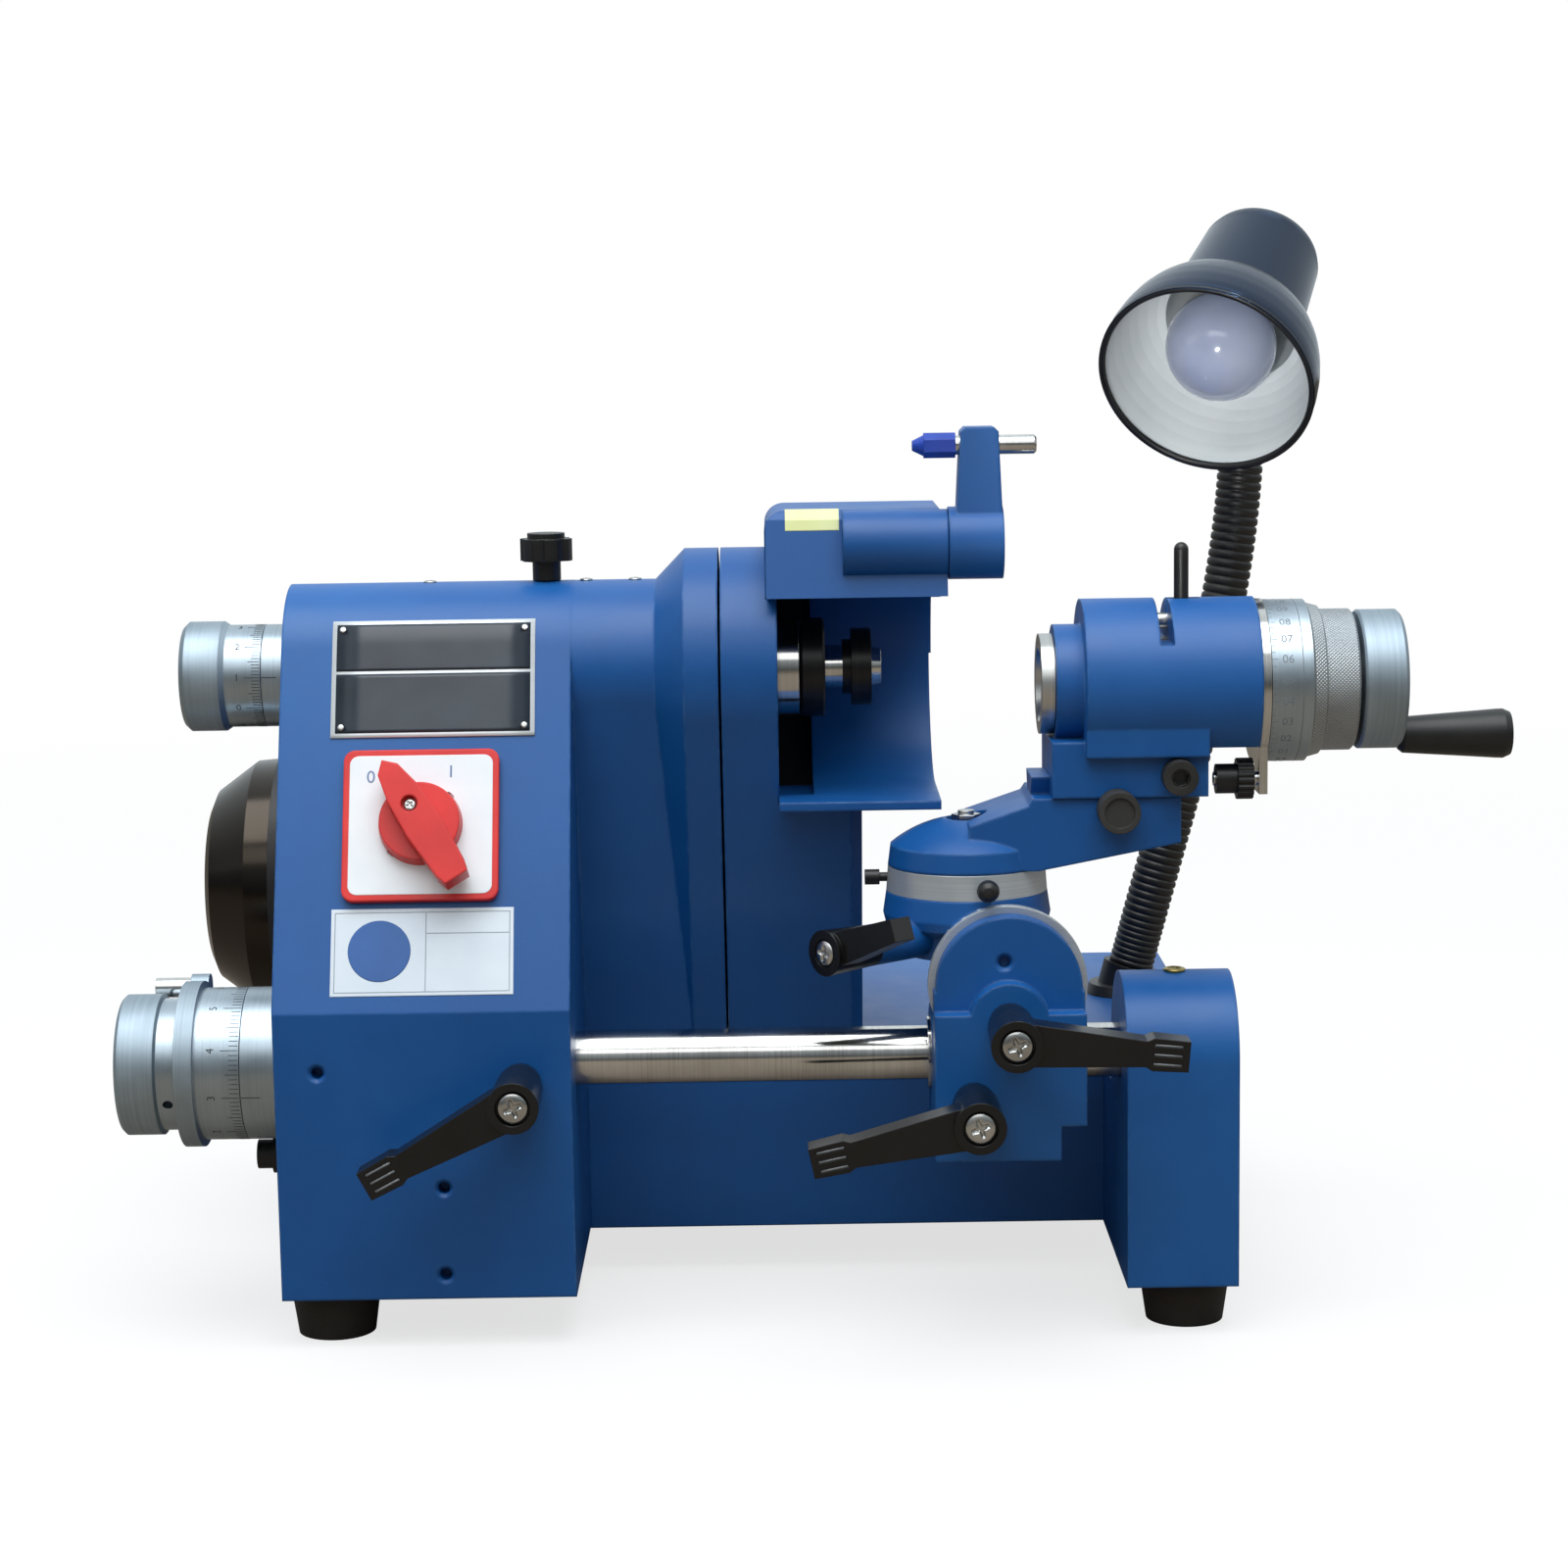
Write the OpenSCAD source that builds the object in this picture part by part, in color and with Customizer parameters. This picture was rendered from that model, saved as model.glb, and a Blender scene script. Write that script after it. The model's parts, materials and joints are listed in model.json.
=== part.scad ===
// Tool and cutter grinder: a bench machine with a wheel spindle on the left
// and a swivelling workhead that slides on a guide rod on the right.
// Units are millimetres, +Z is up and the operator stands on the -Y side.

/* [Stand] */
// diameter of a rubber foot
foot_d = 40; // [34:1:46]
// height of a rubber foot
foot_h = 21.5; // [18:0.5:26]
// height of the bed top above the bench
bed_top = 109; // [104:1:112]
// depth of the bed from front to back
bed_depth = 202; // [195:1:220]
// wall of the castings
wall = 11; // [8:0.5:13]

/* [Headstock] */
// width of the headstock block
head_w = 128.5; // [124:0.5:140]
// height where the sloped panel begins
front_h = 148.6; // [140:1:156]
// radius of the neck round the spindle
neck_r = 41.4; // [40:0.2:44]
// radius of the collar and of the belt cover
ring_r = 55; // [52:0.5:57]
// clear length between headstock and pedestal
rod_span = 240; // [236:1:260]
// width of the pedestal
ped_w = 48.5; // [40:0.5:60]

/* [Wheel spindle] */
// height of the wheel spindle above the bench
sp_z = 284.4; // [280:0.5:292]
// diameter of the sliding spindle sleeve
sleeve_d = 56; // [50:0.5:60]
// diameter of the spindle shaft
shaft_d = 20; // [18:0.5:22]
// diameter of the spindle nose and of the wheel flange
nose_d = 45; // [40:1:48]
// inner radius of the wheel guard
guard_r = 54; // [52:0.5:58]
// length of the wheel guard along the spindle
guard_len = 71.5; // [66:0.5:76]
// diameter of the spindle pulley
sp_pulley_d = 52; // [46:1:56]
// diameter of the motor pulley
mo_pulley_d = 96; // [88:1:98]

/* [Motor] */
// outer radius of the motor
motor_r = 64; // [58:0.5:66]
// length of the motor shell
motor_len = 182; // [170:1:186]

/* [Guide rod] */
// diameter of the guide rod
rod_d = 24; // [20:0.5:26]
// height of the guide rod above the bench
rod_z = 120; // [118:0.5:122]
// outer radius of the pedestal arch
ped_r = 35; // [32:0.5:38]

/* [Saddle] */
// width of the saddle along the rod
saddle_w = 65; // [62:0.5:70]
// height of the tilt axis above the rod
tilt_up = 35.5; // [34:0.2:37]
// radius of the saddle's round plate
plate_r = 31.5; // [30:0.5:32.5]
// thickness of the saddle's round plate
plate_t = 10; // [8:0.5:12]

/* [Swivel] */
// radius of the graduated swivel ring
swivel_r = 35.5; // [33:0.5:36.5]
// height of the graduated swivel ring
swivel_h = 11; // [9:0.5:13]

/* [Workhead] */
// height of the work axis above the swivel ring
work_up = 79.3; // [78:0.5:84]
// outer radius of the workhead housing
house_r = 37; // [35:0.5:39]
// length of the workhead housing
house_len = 75.5; // [74:0.5:82]
// diameter of the work spindle
work_d = 40; // [36:1:44]
// bore for the collet
collet_d = 28; // [24:1:30]
// diameter of the handwheel
hand_d = 61; // [56:1:66]
// length of the crank grip
grip_len = 49; // [40:1:56]

/* [Dresser] */
// length of the dresser arm from shaft to diamond rod
dress_arm = 42.8; // [40:0.2:46]
// diameter of the diamond rod
diamond_d = 8.5; // [7:0.5:10]

/* [Lamp] */
// radius of the lamp shade at its opening
shade_r = 51.5; // [48:0.5:55]
// radius of the can behind the shade
can_r = 29; // [27:0.5:31]
// overall length of the shade along its axis
shade_len = 112; // [104:1:116]
// outer diameter of the gooseneck ribs
goose_d = 22; // [18:1:24]

/* [Hidden] */
$fn = 64;

// clearance of turning and sliding fits, on the radius
fit = 0.05;
// clearance between faces that pass each other
gap = 0.3;
// how far a flat side stays inside the round that it runs into
skim = 0.05;

// colours of the finished pieces
paint = [0.10, 0.27, 0.55];
black = [0.06, 0.06, 0.065];
steel = [0.78, 0.78, 0.80];
satin = [0.70, 0.71, 0.72];
red = [0.82, 0.10, 0.08];
white = [0.93, 0.93, 0.92];

// datum planes: front face of the headstock and its right-hand face
front_y = -127;
hx1 = -107;
hx0 = hx1 - head_w;
ped_x0 = hx1 + rod_span;
ped_x1 = ped_x0 + ped_w;
bed_y0 = front_y + 108;
bed_y1 = bed_y0 + bed_depth;

// guide rod
rod_r = rod_d / 2;
rod_y = front_y + ped_r;
rod_boss = rod_r + 9;

// wheel spindle and its column
sp_y = front_y + 105;
head_y1 = sp_y + neck_r;
neck_x1 = hx1 + 35;
cone_x1 = neck_x1 + 15;
ring_x1 = cone_x1 + 15.4;
sleeve_r = sleeve_d / 2;
shaft_r = shaft_d / 2;
nose_r = nose_d / 2;
sleeve_x0 = hx0 + 10.5;
sleeve_x1 = ring_x1 - 6.4;
bearing_r = sleeve_r - 6;
plug = 6;

// belt cover, belt and pulleys
seam = 1.1;
bc_wall = 3;
bc_x0 = ring_x1 + seam;
bc_x1 = bc_x0 + 25;
pillar_x1 = bc_x1 + 37;
ledge_z = sp_z - guard_r - 4;
belt_x0 = bc_x0 + 4;
belt_w = 9;
belt_t = 2.2;
sp_pulley_r = sp_pulley_d / 2;
mo_pulley_r = mo_pulley_d / 2;
mo_cover_r = mo_pulley_r + 10;
motor_y = front_y + 230;
motor_z = bed_top + mo_cover_r;
motor_x1 = hx1 + 27;
motor_x0 = motor_x1 - motor_len;
rotor_shaft_r = 9;
fan_room = 34;
core_in = 24;
bell_w = 27;
bell_hub_r = 20;

// spindle nose stack, from left to right
nose_x = bc_x1 - 0.3;
nose_w = 10;
flange_w = 11.8;
nut_x = nose_x + nose_w + flange_w + 12;
nut_w = 9;
nut_r = 17.5;

// wheel guard and dresser
guard_x1 = bc_x1 + guard_len;
guard_t = 5;
hood_x0 = bc_x1 - 5;
hood_up = 73.6;
// front face of the hood and its lower edge, from the spindle axis
hood_front = 43;
hood_low = 36;
slot_w = 15.5;
dress_y = sp_y - hood_front;
dress_z = sp_z + 58.6;
dress_r = 15;
dress_shaft_r = 8;
dress_x0 = guard_x1 + 4.5;
arm_w = 24;
arm_t = 18;
diamond_r = diamond_d / 2;
diamond_z = dress_z + dress_arm;
diamond_x0 = dress_x0 - 15.5;
diamond_x1 = diamond_x0 + 54.5;
cap_tip = 5;
cap_len = 19;

// graduated knobs on the left side
feed_r = 23.25;
feed_stem_r = 7;
feed_sleeve_w = 12;
dial_r = 33.5;
dial_sleeve_w = 15;
dial_screw_r = 6;
dial_x1 = hx0 - dial_sleeve_w - gap;
dial_ring_x = dial_x1 - 20;
dial_lug_r = 36.4;

// panel slope: angle of the line from the front edge to the neck
function tan_angle(p, c, r, side) =
  atan2(c[1] - p[1], c[0] - p[0]) + side * asin(r / norm(c - p));
function tan_point(p, c, r, side) =
  let (a = tan_angle(p, c, r, side), l = sqrt(pow(norm(c - p), 2) - r * r))
  p + l * [cos(a), sin(a)];
sp_c = [sp_y, sp_z];
mo_c = [motor_y, motor_z];
panel_p = [front_y, front_h];
panel_a = tan_angle(panel_p, sp_c, neck_r, 1);
column_p = [bed_y0, bed_top];
column_t = tan_point(column_p, sp_c, ring_r - skim, 1);
function column_y(z) =
  bed_y0 + (column_t[0] - bed_y0) * (z - bed_top) / (column_t[1] - bed_top);

// switch on the panel: centre along X and along the slope
switch_x = hx0 + 63.5;
switch_s = 83;
switch_w = 68;
switch_t = 4;
switch_rim = 4;

// clamp levers
lever_hub_r = 11;
lever_hub_h = 46;
lever_arm = 72;
lever_stud_r = 5;
lock_x = hx1 - 22;
lock_z = rod_z - 3;
knob_x = hx1 - 12.5;
knob_stem_r = 4;

// saddle
saddle_x = ped_x0 - 51;
saddle_x0 = saddle_x - saddle_w / 2;
saddle_x1 = saddle_x + saddle_w / 2;
bush_r = rod_r + 4;
hub_r = bush_r + 6;
tilt_z = rod_z + tilt_up;
tilt_pin_r = 9;
// skin left in front of the blind tilt pin
pin_skin = 3;
disc_t = 5;
disc_y0 = rod_y - hub_r - disc_t - 2 * gap;
plate_y0 = disc_y0 - gap - plate_t;
saddle_y0 = plate_y0 - 8;
saddle_z0 = rod_z - 38;
saddle_hole = [saddle_x - 16, rod_z - 12];
tilt_hole = [saddle_x - 0.5, tilt_z - 13];

// tilt body and swivel
sw_x = saddle_x - 15.3;
sw_y = rod_y + 12;
ring_z0 = tilt_z + 35.9;
ring_z1 = ring_z0 + swivel_h;
seat_r = swivel_r + 1.5;
neck_z0 = tilt_z + 8;
pivot_r = 7;
dome_r = swivel_r - 2;
arm_foot_h = 9;
dome_h = 12;
dome_ball = (dome_r * dome_r + dome_h * dome_h) / (2 * dome_h);

// bracket arm and workhead
arm_z0 = ring_z1 + gap;
nut_z = arm_z0 + arm_foot_h + dome_h - 3.5;
wk_y = sw_y;
wk_z = ring_z1 + work_up;
rail_z = ring_z1 + 32;
rail_h = 8;
rail_w0 = 22;
rail_w1 = 30;
house_x0 = sw_x + 50.3;
house_x1 = house_x0 + house_len;
block_x0 = house_x0 - 14.5;
block_x1 = house_x0 + 53;
block_w = 56;
work_lip = 2;
nose_out = 12;
block_top = wk_z - work_d / 2 - work_lip - 2 * gap;
arm_x1 = house_x0 + 41.5;
arm_half = 26;
work_r = work_d / 2;
plate_x1 = house_x1 + 3.6;
dial_w = 24;
collar_w = 15;
dialx = plate_x1 + gap;
collar_x1 = dialx + dial_w + collar_w;
hand_x0 = collar_x1 + 2;
hand_w = 19;
hand_x1 = hand_x0 + hand_w;
drawbar_r = 8;
grip_pin_r = 3.5;
grip_in = 25;
bolt_r = 3.5;
bolt_z = wk_z + house_r - 10;
slot_x = house_x0 + 32;
slot_gap = 6;
stop_y = wk_y - 16;
stop_z = wk_z - house_r - 4;
stop_stud_r = 3;

// lamp: foot of the gooseneck, its route and the axis of the shade
goose_r = goose_d / 2;
goose_lean = 15;
goose_dir = [sin(goose_lean), 0, cos(goose_lean)];
lamp_foot = [ped_x1 - 28, front_y + 211, bed_top];
lamp_neck = 14;
goose_a = lamp_foot + lamp_neck * goose_dir;
goose_b = goose_a + goose_d * goose_dir;
goose_d_end = [ped_x1 + 30.5, front_y + 221, bed_top + 299];
goose_c = goose_d_end - [0, 0, goose_d];
goose_n = 60;
shade_az = 64.6;
shade_tip = 56.2;
shade_axis = [sin(shade_tip) * cos(shade_az), sin(shade_tip) * sin(shade_az), cos(shade_tip)];
shade_c = goose_d_end + [-26.8, -71, 2.2];
bell_len = 46;
shade_t = 1.2;
bulb_r = 26;
bulb_at = 28;
holder_r = 17;
holder_at = 58;
cap_r = 13;
stub_r = 13;
stub_h = 30;
dome_len = 12;

// simple solids along the axes
module xcyl(x0, x1, y, z, r) {
  translate([x0, y, z]) rotate([0, 90, 0]) cylinder(h = x1 - x0, r = r);
}
module xcone(x0, x1, y, z, ra, rb) {
  translate([x0, y, z]) rotate([0, 90, 0]) cylinder(h = x1 - x0, r1 = ra, r2 = rb);
}
module ycyl(y0, y1, x, z, r) {
  translate([x, y1, z]) rotate([90, 0, 0]) cylinder(h = y1 - y0, r = r);
}
module zcyl(z0, z1, x, y, r) {
  translate([x, y, z0]) cylinder(h = z1 - z0, r = r);
}
module box(x0, x1, y0, y1, z0, z1) {
  translate([x0, y0, z0]) cube([x1 - x0, y1 - y0, z1 - z0]);
}
// outline in the Y-Z plane, drawn out along X
module xprism(x0, x1) {
  translate([x0, 0, 0]) rotate([90, 0, 90]) linear_extrude(x1 - x0) children();
}
// outline in the X-Z plane, drawn out along Y
module yprism(y0, y1) {
  translate([0, y1, 0]) rotate([90, 0, 0]) linear_extrude(y1 - y0) children();
}
// half profile of radius and X, turned round an axis along X
module xlathe(y, z) {
  translate([0, y, z]) rotate([0, 90, 0]) rotate_extrude() children();
}
// straight sides between two circles, and the outline with the circles
module belt_sides(c1, r1, c2, r2) {
  b = atan2(c2[1] - c1[1], c2[0] - c1[0]);
  g = acos((r1 - r2) / norm(c2 - c1));
  u = [cos(b + g), sin(b + g)];
  v = [cos(b - g), sin(b - g)];
  ra = r1 - skim;
  rb = r2 - skim;
  polygon([c1 + ra * u, c2 + rb * u, c2 + rb * v, c1 + ra * v]);
}
module belt2d(c1, r1, c2, r2) {
  translate(c1) circle(r1);
  translate(c2) circle(r2);
  belt_sides(c1, r1, c2, r2);
}
// moves to the sloped panel: X along the machine, Y up the slope, Z outward
module on_panel(x, s) {
  translate([x, front_y, front_h]) rotate([panel_a, 0, 0]) translate([0, s, 0]) children();
}
// clamp lever standing on Z = 0 with its arm along +X
module clamp_lever(arm, stud) {
  tip = 15;
  rib = 1.2;
  difference() {
    union() {
      translate([0, 0, gap]) cylinder(h = 8, r1 = lever_hub_r - 2, r2 = lever_hub_r - 1);
      translate([0, 0, 8]) cylinder(h = lever_hub_h - 8, r1 = lever_hub_r - 1, r2 = lever_hub_r);
      translate([0, 0, lever_hub_h - 17]) linear_extrude(13) polygon([[0, -lever_hub_r + 1.5],
        [arm - tip - 3, -5.5], [arm - tip, -7], [arm, -6.5], [arm, 6.5],
        [arm - tip, 7], [arm - tip - 3, 5.5], [0, lever_hub_r - 1.5]]);
      translate([0, 0, -stud]) cylinder(h = stud + 1, r = lever_stud_r);
    }
    for (k = [-1:1])
      translate([arm - tip, k * 4 - rib / 2, lever_hub_h - 5]) cube([tip - 3, rib, 2]);
    translate([0, 0, lever_hub_h - 3]) cylinder(h = 4, r = lever_hub_r - 3.5);
  }
}

// outline of the headstock block, tangent to the neck
module head_profile() {
  t = tan_point(panel_p, sp_c, neck_r - skim, 1);
  translate(sp_c) circle(neck_r);
  polygon([[front_y, foot_h], panel_p, t, sp_c, [head_y1 - skim, sp_z], [head_y1 - skim, foot_h]]);
}
module head_hollow() {
  za = front_h - wall * cos(panel_a) + wall * (1 - sin(panel_a)) * tan(panel_a);
  zt = sp_z - neck_r - 8;
  yt = front_y + wall / sin(panel_a) + (zt - front_h) / tan(panel_a);
  polygon([[front_y + wall, foot_h - 1], [front_y + wall, za], [yt, zt],
    [head_y1 - wall, zt], [head_y1 - wall, foot_h - 1]]);
}
// outline of the column under the neck: leans back from the collar to the bed front
module column_sides(r) {
  t = tan_point(column_p, sp_c, r - skim, 1);
  back = sp_y + r - skim;
  polygon([column_p, t, sp_c, [back, sp_z], [back, bed_top]]);
}
module column(r) {
  translate(sp_c) circle(r);
  column_sides(r);
}
// leaning bevel between the neck's wall and the collar's wall
module column_flare() {
  a = tan_angle(column_p, sp_c, ring_r, 1);
  l = norm(column_t - column_p);
  translate([0, sp_y, sp_z]) rotate([a - 90, 0, 0]) translate([0, 0, -l]) linear_extrude(l)
    polygon([[neck_x1, 0], [neck_x1, -neck_r + 2], [cone_x1, -ring_r + 4 * skim], [cone_x1, 0]]);
}
module tapped_hole(depth) {
  translate([0, 0, -depth]) cylinder(h = depth + 1, r = 2.6);
  translate([0, 0, -1.5]) cylinder(h = 2.5, r1 = 2.6, r2 = 5.1);
}

module headstock_casting() color(paint) difference() {
  union() {
    difference() {
      xprism(hx0, hx1) head_profile();
      xprism(hx0 + wall, hx1 - wall) head_hollow();
    }
    // tube that guides the rod, and the pad behind the lock lever
    xcyl(hx0 + 1, hx1 - 1, rod_y, rod_z, rod_boss);
    ycyl(front_y + 1, rod_y - rod_r, lock_x, lock_z, lever_stud_r + 7);
    // neck, flare and collar
    xprism(hx1 - 1, cone_x1 + 1) column(neck_r - 2 * skim);
    xcone(neck_x1, cone_x1, sp_y, sp_z, neck_r - 2, ring_r - 2 * skim);
    column_flare();
    xprism(cone_x1, ring_x1) column(ring_r);
  }
  // hollow of the column, open towards the bed
  xprism(hx1 + wall, ring_x1 - wall) polygon([[bed_y0 + 14, bed_top - 1],
    [sp_y - 14, sp_z - ring_r - 9], [head_y1 - wall, sp_z - ring_r - 9],
    [head_y1 - wall, bed_top - 1]]);
  // bore of the spindle sleeve and room for the pulley
  xcyl(hx0 + plug, ring_x1 + 1, sp_y, sp_z, sleeve_r + fit);
  xcyl(sleeve_x1 - 5, ring_x1 + 1, sp_y, sp_z, sp_pulley_r + 8);
  xcyl(hx0 - 1, hx0 + plug + 1, sp_y, sp_z, feed_stem_r + fit);
  // bore of the guide rod and of its feed screw
  xcyl(hx0 + 9, hx1 + 1, rod_y, rod_z, rod_r + fit);
  xcyl(hx0 - 1, hx0 + 10, rod_y, rod_z, dial_screw_r + fit);
  // lock holes
  ycyl(front_y - 1, rod_y, lock_x, lock_z, lever_stud_r + fit);
  zcyl(sp_z + sleeve_r - 2, sp_z + neck_r + 1, knob_x, sp_y, knob_stem_r + fit);
  on_panel(switch_x, switch_s) translate([0, 0, -8]) cylinder(h = 9, r = 6);
  // tapped holes of the front and of the top
  for (p = [[hx0 + 18.6, rod_z + 2.6], [hx0 + 72, rod_z - 49.2], [hx0 + 71.7, rod_z - 87.8]])
    translate([p[0], front_y, p[1]]) rotate([90, 0, 0]) tapped_hole(wall - 2);
  for (x = [hx0 + 63, hx1 + 5.3, hx1 + 27.5])
    translate([x, sp_y, sp_z + neck_r]) tapped_hole(8);
}

module bed_casting() color(paint) difference() {
  union() {
    difference() {
      union() {
        box(hx1, ped_x1, bed_y0, bed_y1, foot_h, bed_top);
        box(hx0, hx1 + 1, head_y1, bed_y1, foot_h, bed_top);
      }
      box(hx1 + wall, ped_x1 - wall, bed_y0 + wall, bed_y1 - wall, foot_h - 1, bed_top - wall);
      box(hx0 + wall, hx1 + wall + 1, head_y1 + wall, bed_y1 - wall, foot_h - 1, bed_top - wall);
    }
    // seats of the rear feet and ribs across the hollow
    for (p = foot_places()) if (p[1] > bed_y0)
      box(p[0] - 18, p[0] + 18, p[1] - 18, bed_y1 - 1, foot_h, bed_top - 1);
    for (x = [hx1 + 70, hx1 + 150])
      box(x, x + wall - 3, bed_y0 + 1, bed_y1 - 1, foot_h + 12, bed_top - 1);
  }
  // cradle of the motor
  xcyl(hx0 - 1, motor_x1 + 30, motor_y, motor_z, motor_r + fit);
}

function foot_places() = [[hx0 + 20, rod_y - 7], [ped_x1 - 20.5, rod_y - 7],
  [hx0 + 20, bed_y1 - 25], [ped_x1 - 20.5, bed_y1 - 25]];

module rubber_feet() color(black) for (p = foot_places())
  translate([p[0], p[1], 0]) difference() {
    union() {
      cylinder(h = foot_h - 5, r1 = foot_d / 2 - 3, r2 = foot_d / 2 - 0.6);
      translate([0, 0, foot_h - 5]) cylinder(h = 5, r = foot_d / 2 - 0.6);
    }
    translate([0, 0, -1]) cylinder(h = 8, r = 7);
  }

module rod_pedestal() color(paint) difference() {
  xprism(ped_x0, ped_x1) {
    translate([rod_y, rod_z]) circle(ped_r);
    translate([rod_y - ped_r, foot_h]) square([2 * ped_r, rod_z - foot_h]);
    translate([rod_y, foot_h]) square([bed_y0 - rod_y, bed_top - wall - foot_h]);
  }
  // hollow from below, clear of the rod's boss and of the foot's seat
  box(ped_x0 + wall, ped_x1 - wall, rod_y + 20, bed_y0 - wall, foot_h - 1, rod_z - rod_boss - 14);
  xcyl(ped_x0 - 1, ped_x1 - wall, rod_y, rod_z, rod_r + fit);
  translate([(ped_x0 + ped_x1) / 2, rod_y, rod_z + ped_r]) tapped_hole(ped_r - rod_r - 6);
}

module belt_cover() color(paint) difference() {
  union() {
    xprism(bc_x0, bc_x1) {
      belt2d(sp_c, ring_r, mo_c, mo_cover_r);
      column_sides(ring_r);
    }
    xprism(bc_x0, pillar_x1) polygon([column_p, [column_y(ledge_z), ledge_z],
      [sp_y + 30, ledge_z], [sp_y + 30, bed_top]]);
  }
  // room for belt and pulleys
  xprism(bc_x0 + bc_wall, bc_x1 - bc_wall)
    belt2d(sp_c, ring_r - 4, mo_c, mo_cover_r - 4);
  xcyl(bc_x0 - 1, bc_x0 + bc_wall + 1, sp_y, sp_z, sp_pulley_r + 8);
  xcyl(bc_x0 - 1, bc_x0 + bc_wall + 1, motor_y, motor_z, rotor_shaft_r + 6);
  xcyl(bc_x1 - bc_wall - 1, bc_x1 + 1, sp_y, sp_z, nose_r + 1);
  // hollow of the pillar, open towards the bed
  xprism(bc_x1 + bc_wall, pillar_x1 - 8) polygon([[bed_y0 + 12, bed_top - 1],
    [column_y(ledge_z) + 12, ledge_z - 10], [sp_y + 22, ledge_z - 10], [sp_y + 22, bed_top - 1]]);
  // bevelled right-hand edge of the pillar
  pillar_bevel();
}
// wedge along the pillar's leaning front edge
module pillar_bevel() {
  cut = 5;
  lean = atan2(bed_y0 - column_t[0], column_t[1] - bed_top);
  translate([pillar_x1, bed_y0, bed_top]) rotate([lean, 0, 0]) translate([0, 0, -20])
    linear_extrude(ledge_z - bed_top + 50) polygon([[-cut - 1, -1], [1, -1], [1, cut + 1]]);
}

module wheel_guard() color(paint) difference() {
  union() {
    // hood over the wheel with its rounded left shoulder
    intersection() {
      xprism(hood_x0, guard_x1 + 1) polygon([[sp_y - hood_front, sp_z + hood_low],
        [sp_y - hood_front, sp_z + hood_up - 4], [sp_y - hood_front + 4, sp_z + hood_up],
        [sp_y + 23, sp_z + hood_up], [sp_y + guard_r + guard_t, sp_z + 34],
        [sp_y + guard_r + guard_t, sp_z], [sp_y, sp_z]]);
      yprism(sp_y - 60, sp_y + 80) {
        translate([hood_x0 + 9, sp_z + hood_up - 9]) circle(9);
        translate([hood_x0 + 9, sp_z - 1]) square([guard_len + 10, hood_up + 1]);
        translate([hood_x0, sp_z - 1]) square([20, hood_up - 8]);
      }
    }
    // curved back and lower ledge
    xprism(bc_x1 + slot_w, guard_x1) intersection() {
      translate(sp_c) circle(guard_r + guard_t);
      translate([sp_y, ledge_z]) square([90, sp_z - ledge_z + 1]);
    }
    xprism(bc_x1, bc_x1 + slot_w) intersection() {
      translate(sp_c) circle(guard_r + guard_t + 9);
      translate([sp_y, ledge_z]) square([90, sp_z - ledge_z + 44]);
    }
    // web between the wide slot and the back
    xprism(bc_x1 + slot_w, bc_x1 + slot_w + guard_t) intersection() {
      translate(sp_c) circle(guard_r + guard_t + 9);
      translate([sp_y, ledge_z]) square([90, sp_z - ledge_z + 44]);
    }
    box(bc_x1, guard_x1, sp_y - 57, sp_y + 10, ledge_z, sp_z - guard_r);
    // boss of the dresser shaft
    xcyl(dress_x0 - 46.5, dress_x0 - gap, dress_y, dress_z, dress_r);
    box(dress_x0 - 46.5, dress_x0 - gap, dress_y, dress_y + 5, sp_z + hood_low, dress_z);
  }
  xcyl(bc_x1, guard_x1 + 2, sp_y, sp_z, guard_r);
  xcyl(bc_x1, bc_x1 + slot_w, sp_y, sp_z, guard_r + 9);
  xprism(hood_x0 - 1, bc_x1) belt2d(sp_c, ring_r, mo_c, mo_cover_r);
  box(hood_x0 - 1, bc_x1, sp_y - 60, sp_y + 90, sp_z - 1, sp_z + 6);
  xcyl(dress_x0 - 40, dress_x0 + 1, dress_y, dress_z, dress_shaft_r + fit);
}

module drive_belt() color(black) xprism(belt_x0, belt_x0 + belt_w) difference() {
  belt2d(sp_c, sp_pulley_r + gap + belt_t, mo_c, mo_pulley_r + gap + belt_t);
  belt2d(sp_c, sp_pulley_r + gap, mo_c, mo_pulley_r + gap);
}

module motor_shell() color(black) difference() {
  union() {
    xcyl(motor_x0, motor_x1, motor_y, motor_z, motor_r - 5);
    // rings of the finned frame
    for (x = [motor_x0 : 13 : motor_x1 - 6]) xcyl(x, x + 6, motor_y, motor_z, motor_r);
  }
  xcyl(motor_x0 + 6, motor_x1 + 1, motor_y, motor_z, motor_r - 10);
  xcyl(motor_x0 - 1, motor_x0 + 7, motor_y, motor_z, rotor_shaft_r + fit);
}

module motor_fan_cover() color(black) xlathe(motor_y, motor_z) difference() {
  fan_x0 = motor_x0 - fan_room;
  polygon([[0, fan_x0], [motor_r - 24, fan_x0], [motor_r - 17, fan_x0 + 3], [motor_r - 3, fan_x0 + 22],
    [motor_r - 2, motor_x0], [0, motor_x0]]);
  polygon([[0, fan_x0 + 3], [motor_r - 25, fan_x0 + 3], [motor_r - 19, fan_x0 + 6],
    [motor_r - 6, fan_x0 + 24], [motor_r - 6, motor_x0 + 1], [0, motor_x0 + 1]]);
}

module motor_end_bell() color(black) xlathe(motor_y, motor_z) polygon([
  [rotor_shaft_r + fit, motor_x1], [motor_r - 2, motor_x1], [motor_r - 2, motor_x1 + 8],
  [motor_r - 12, motor_x1 + bell_w - 9], [bell_hub_r + 2, motor_x1 + bell_w - 7],
  [bell_hub_r, motor_x1 + bell_w], [rotor_shaft_r + fit, motor_x1 + bell_w]]);

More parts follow.
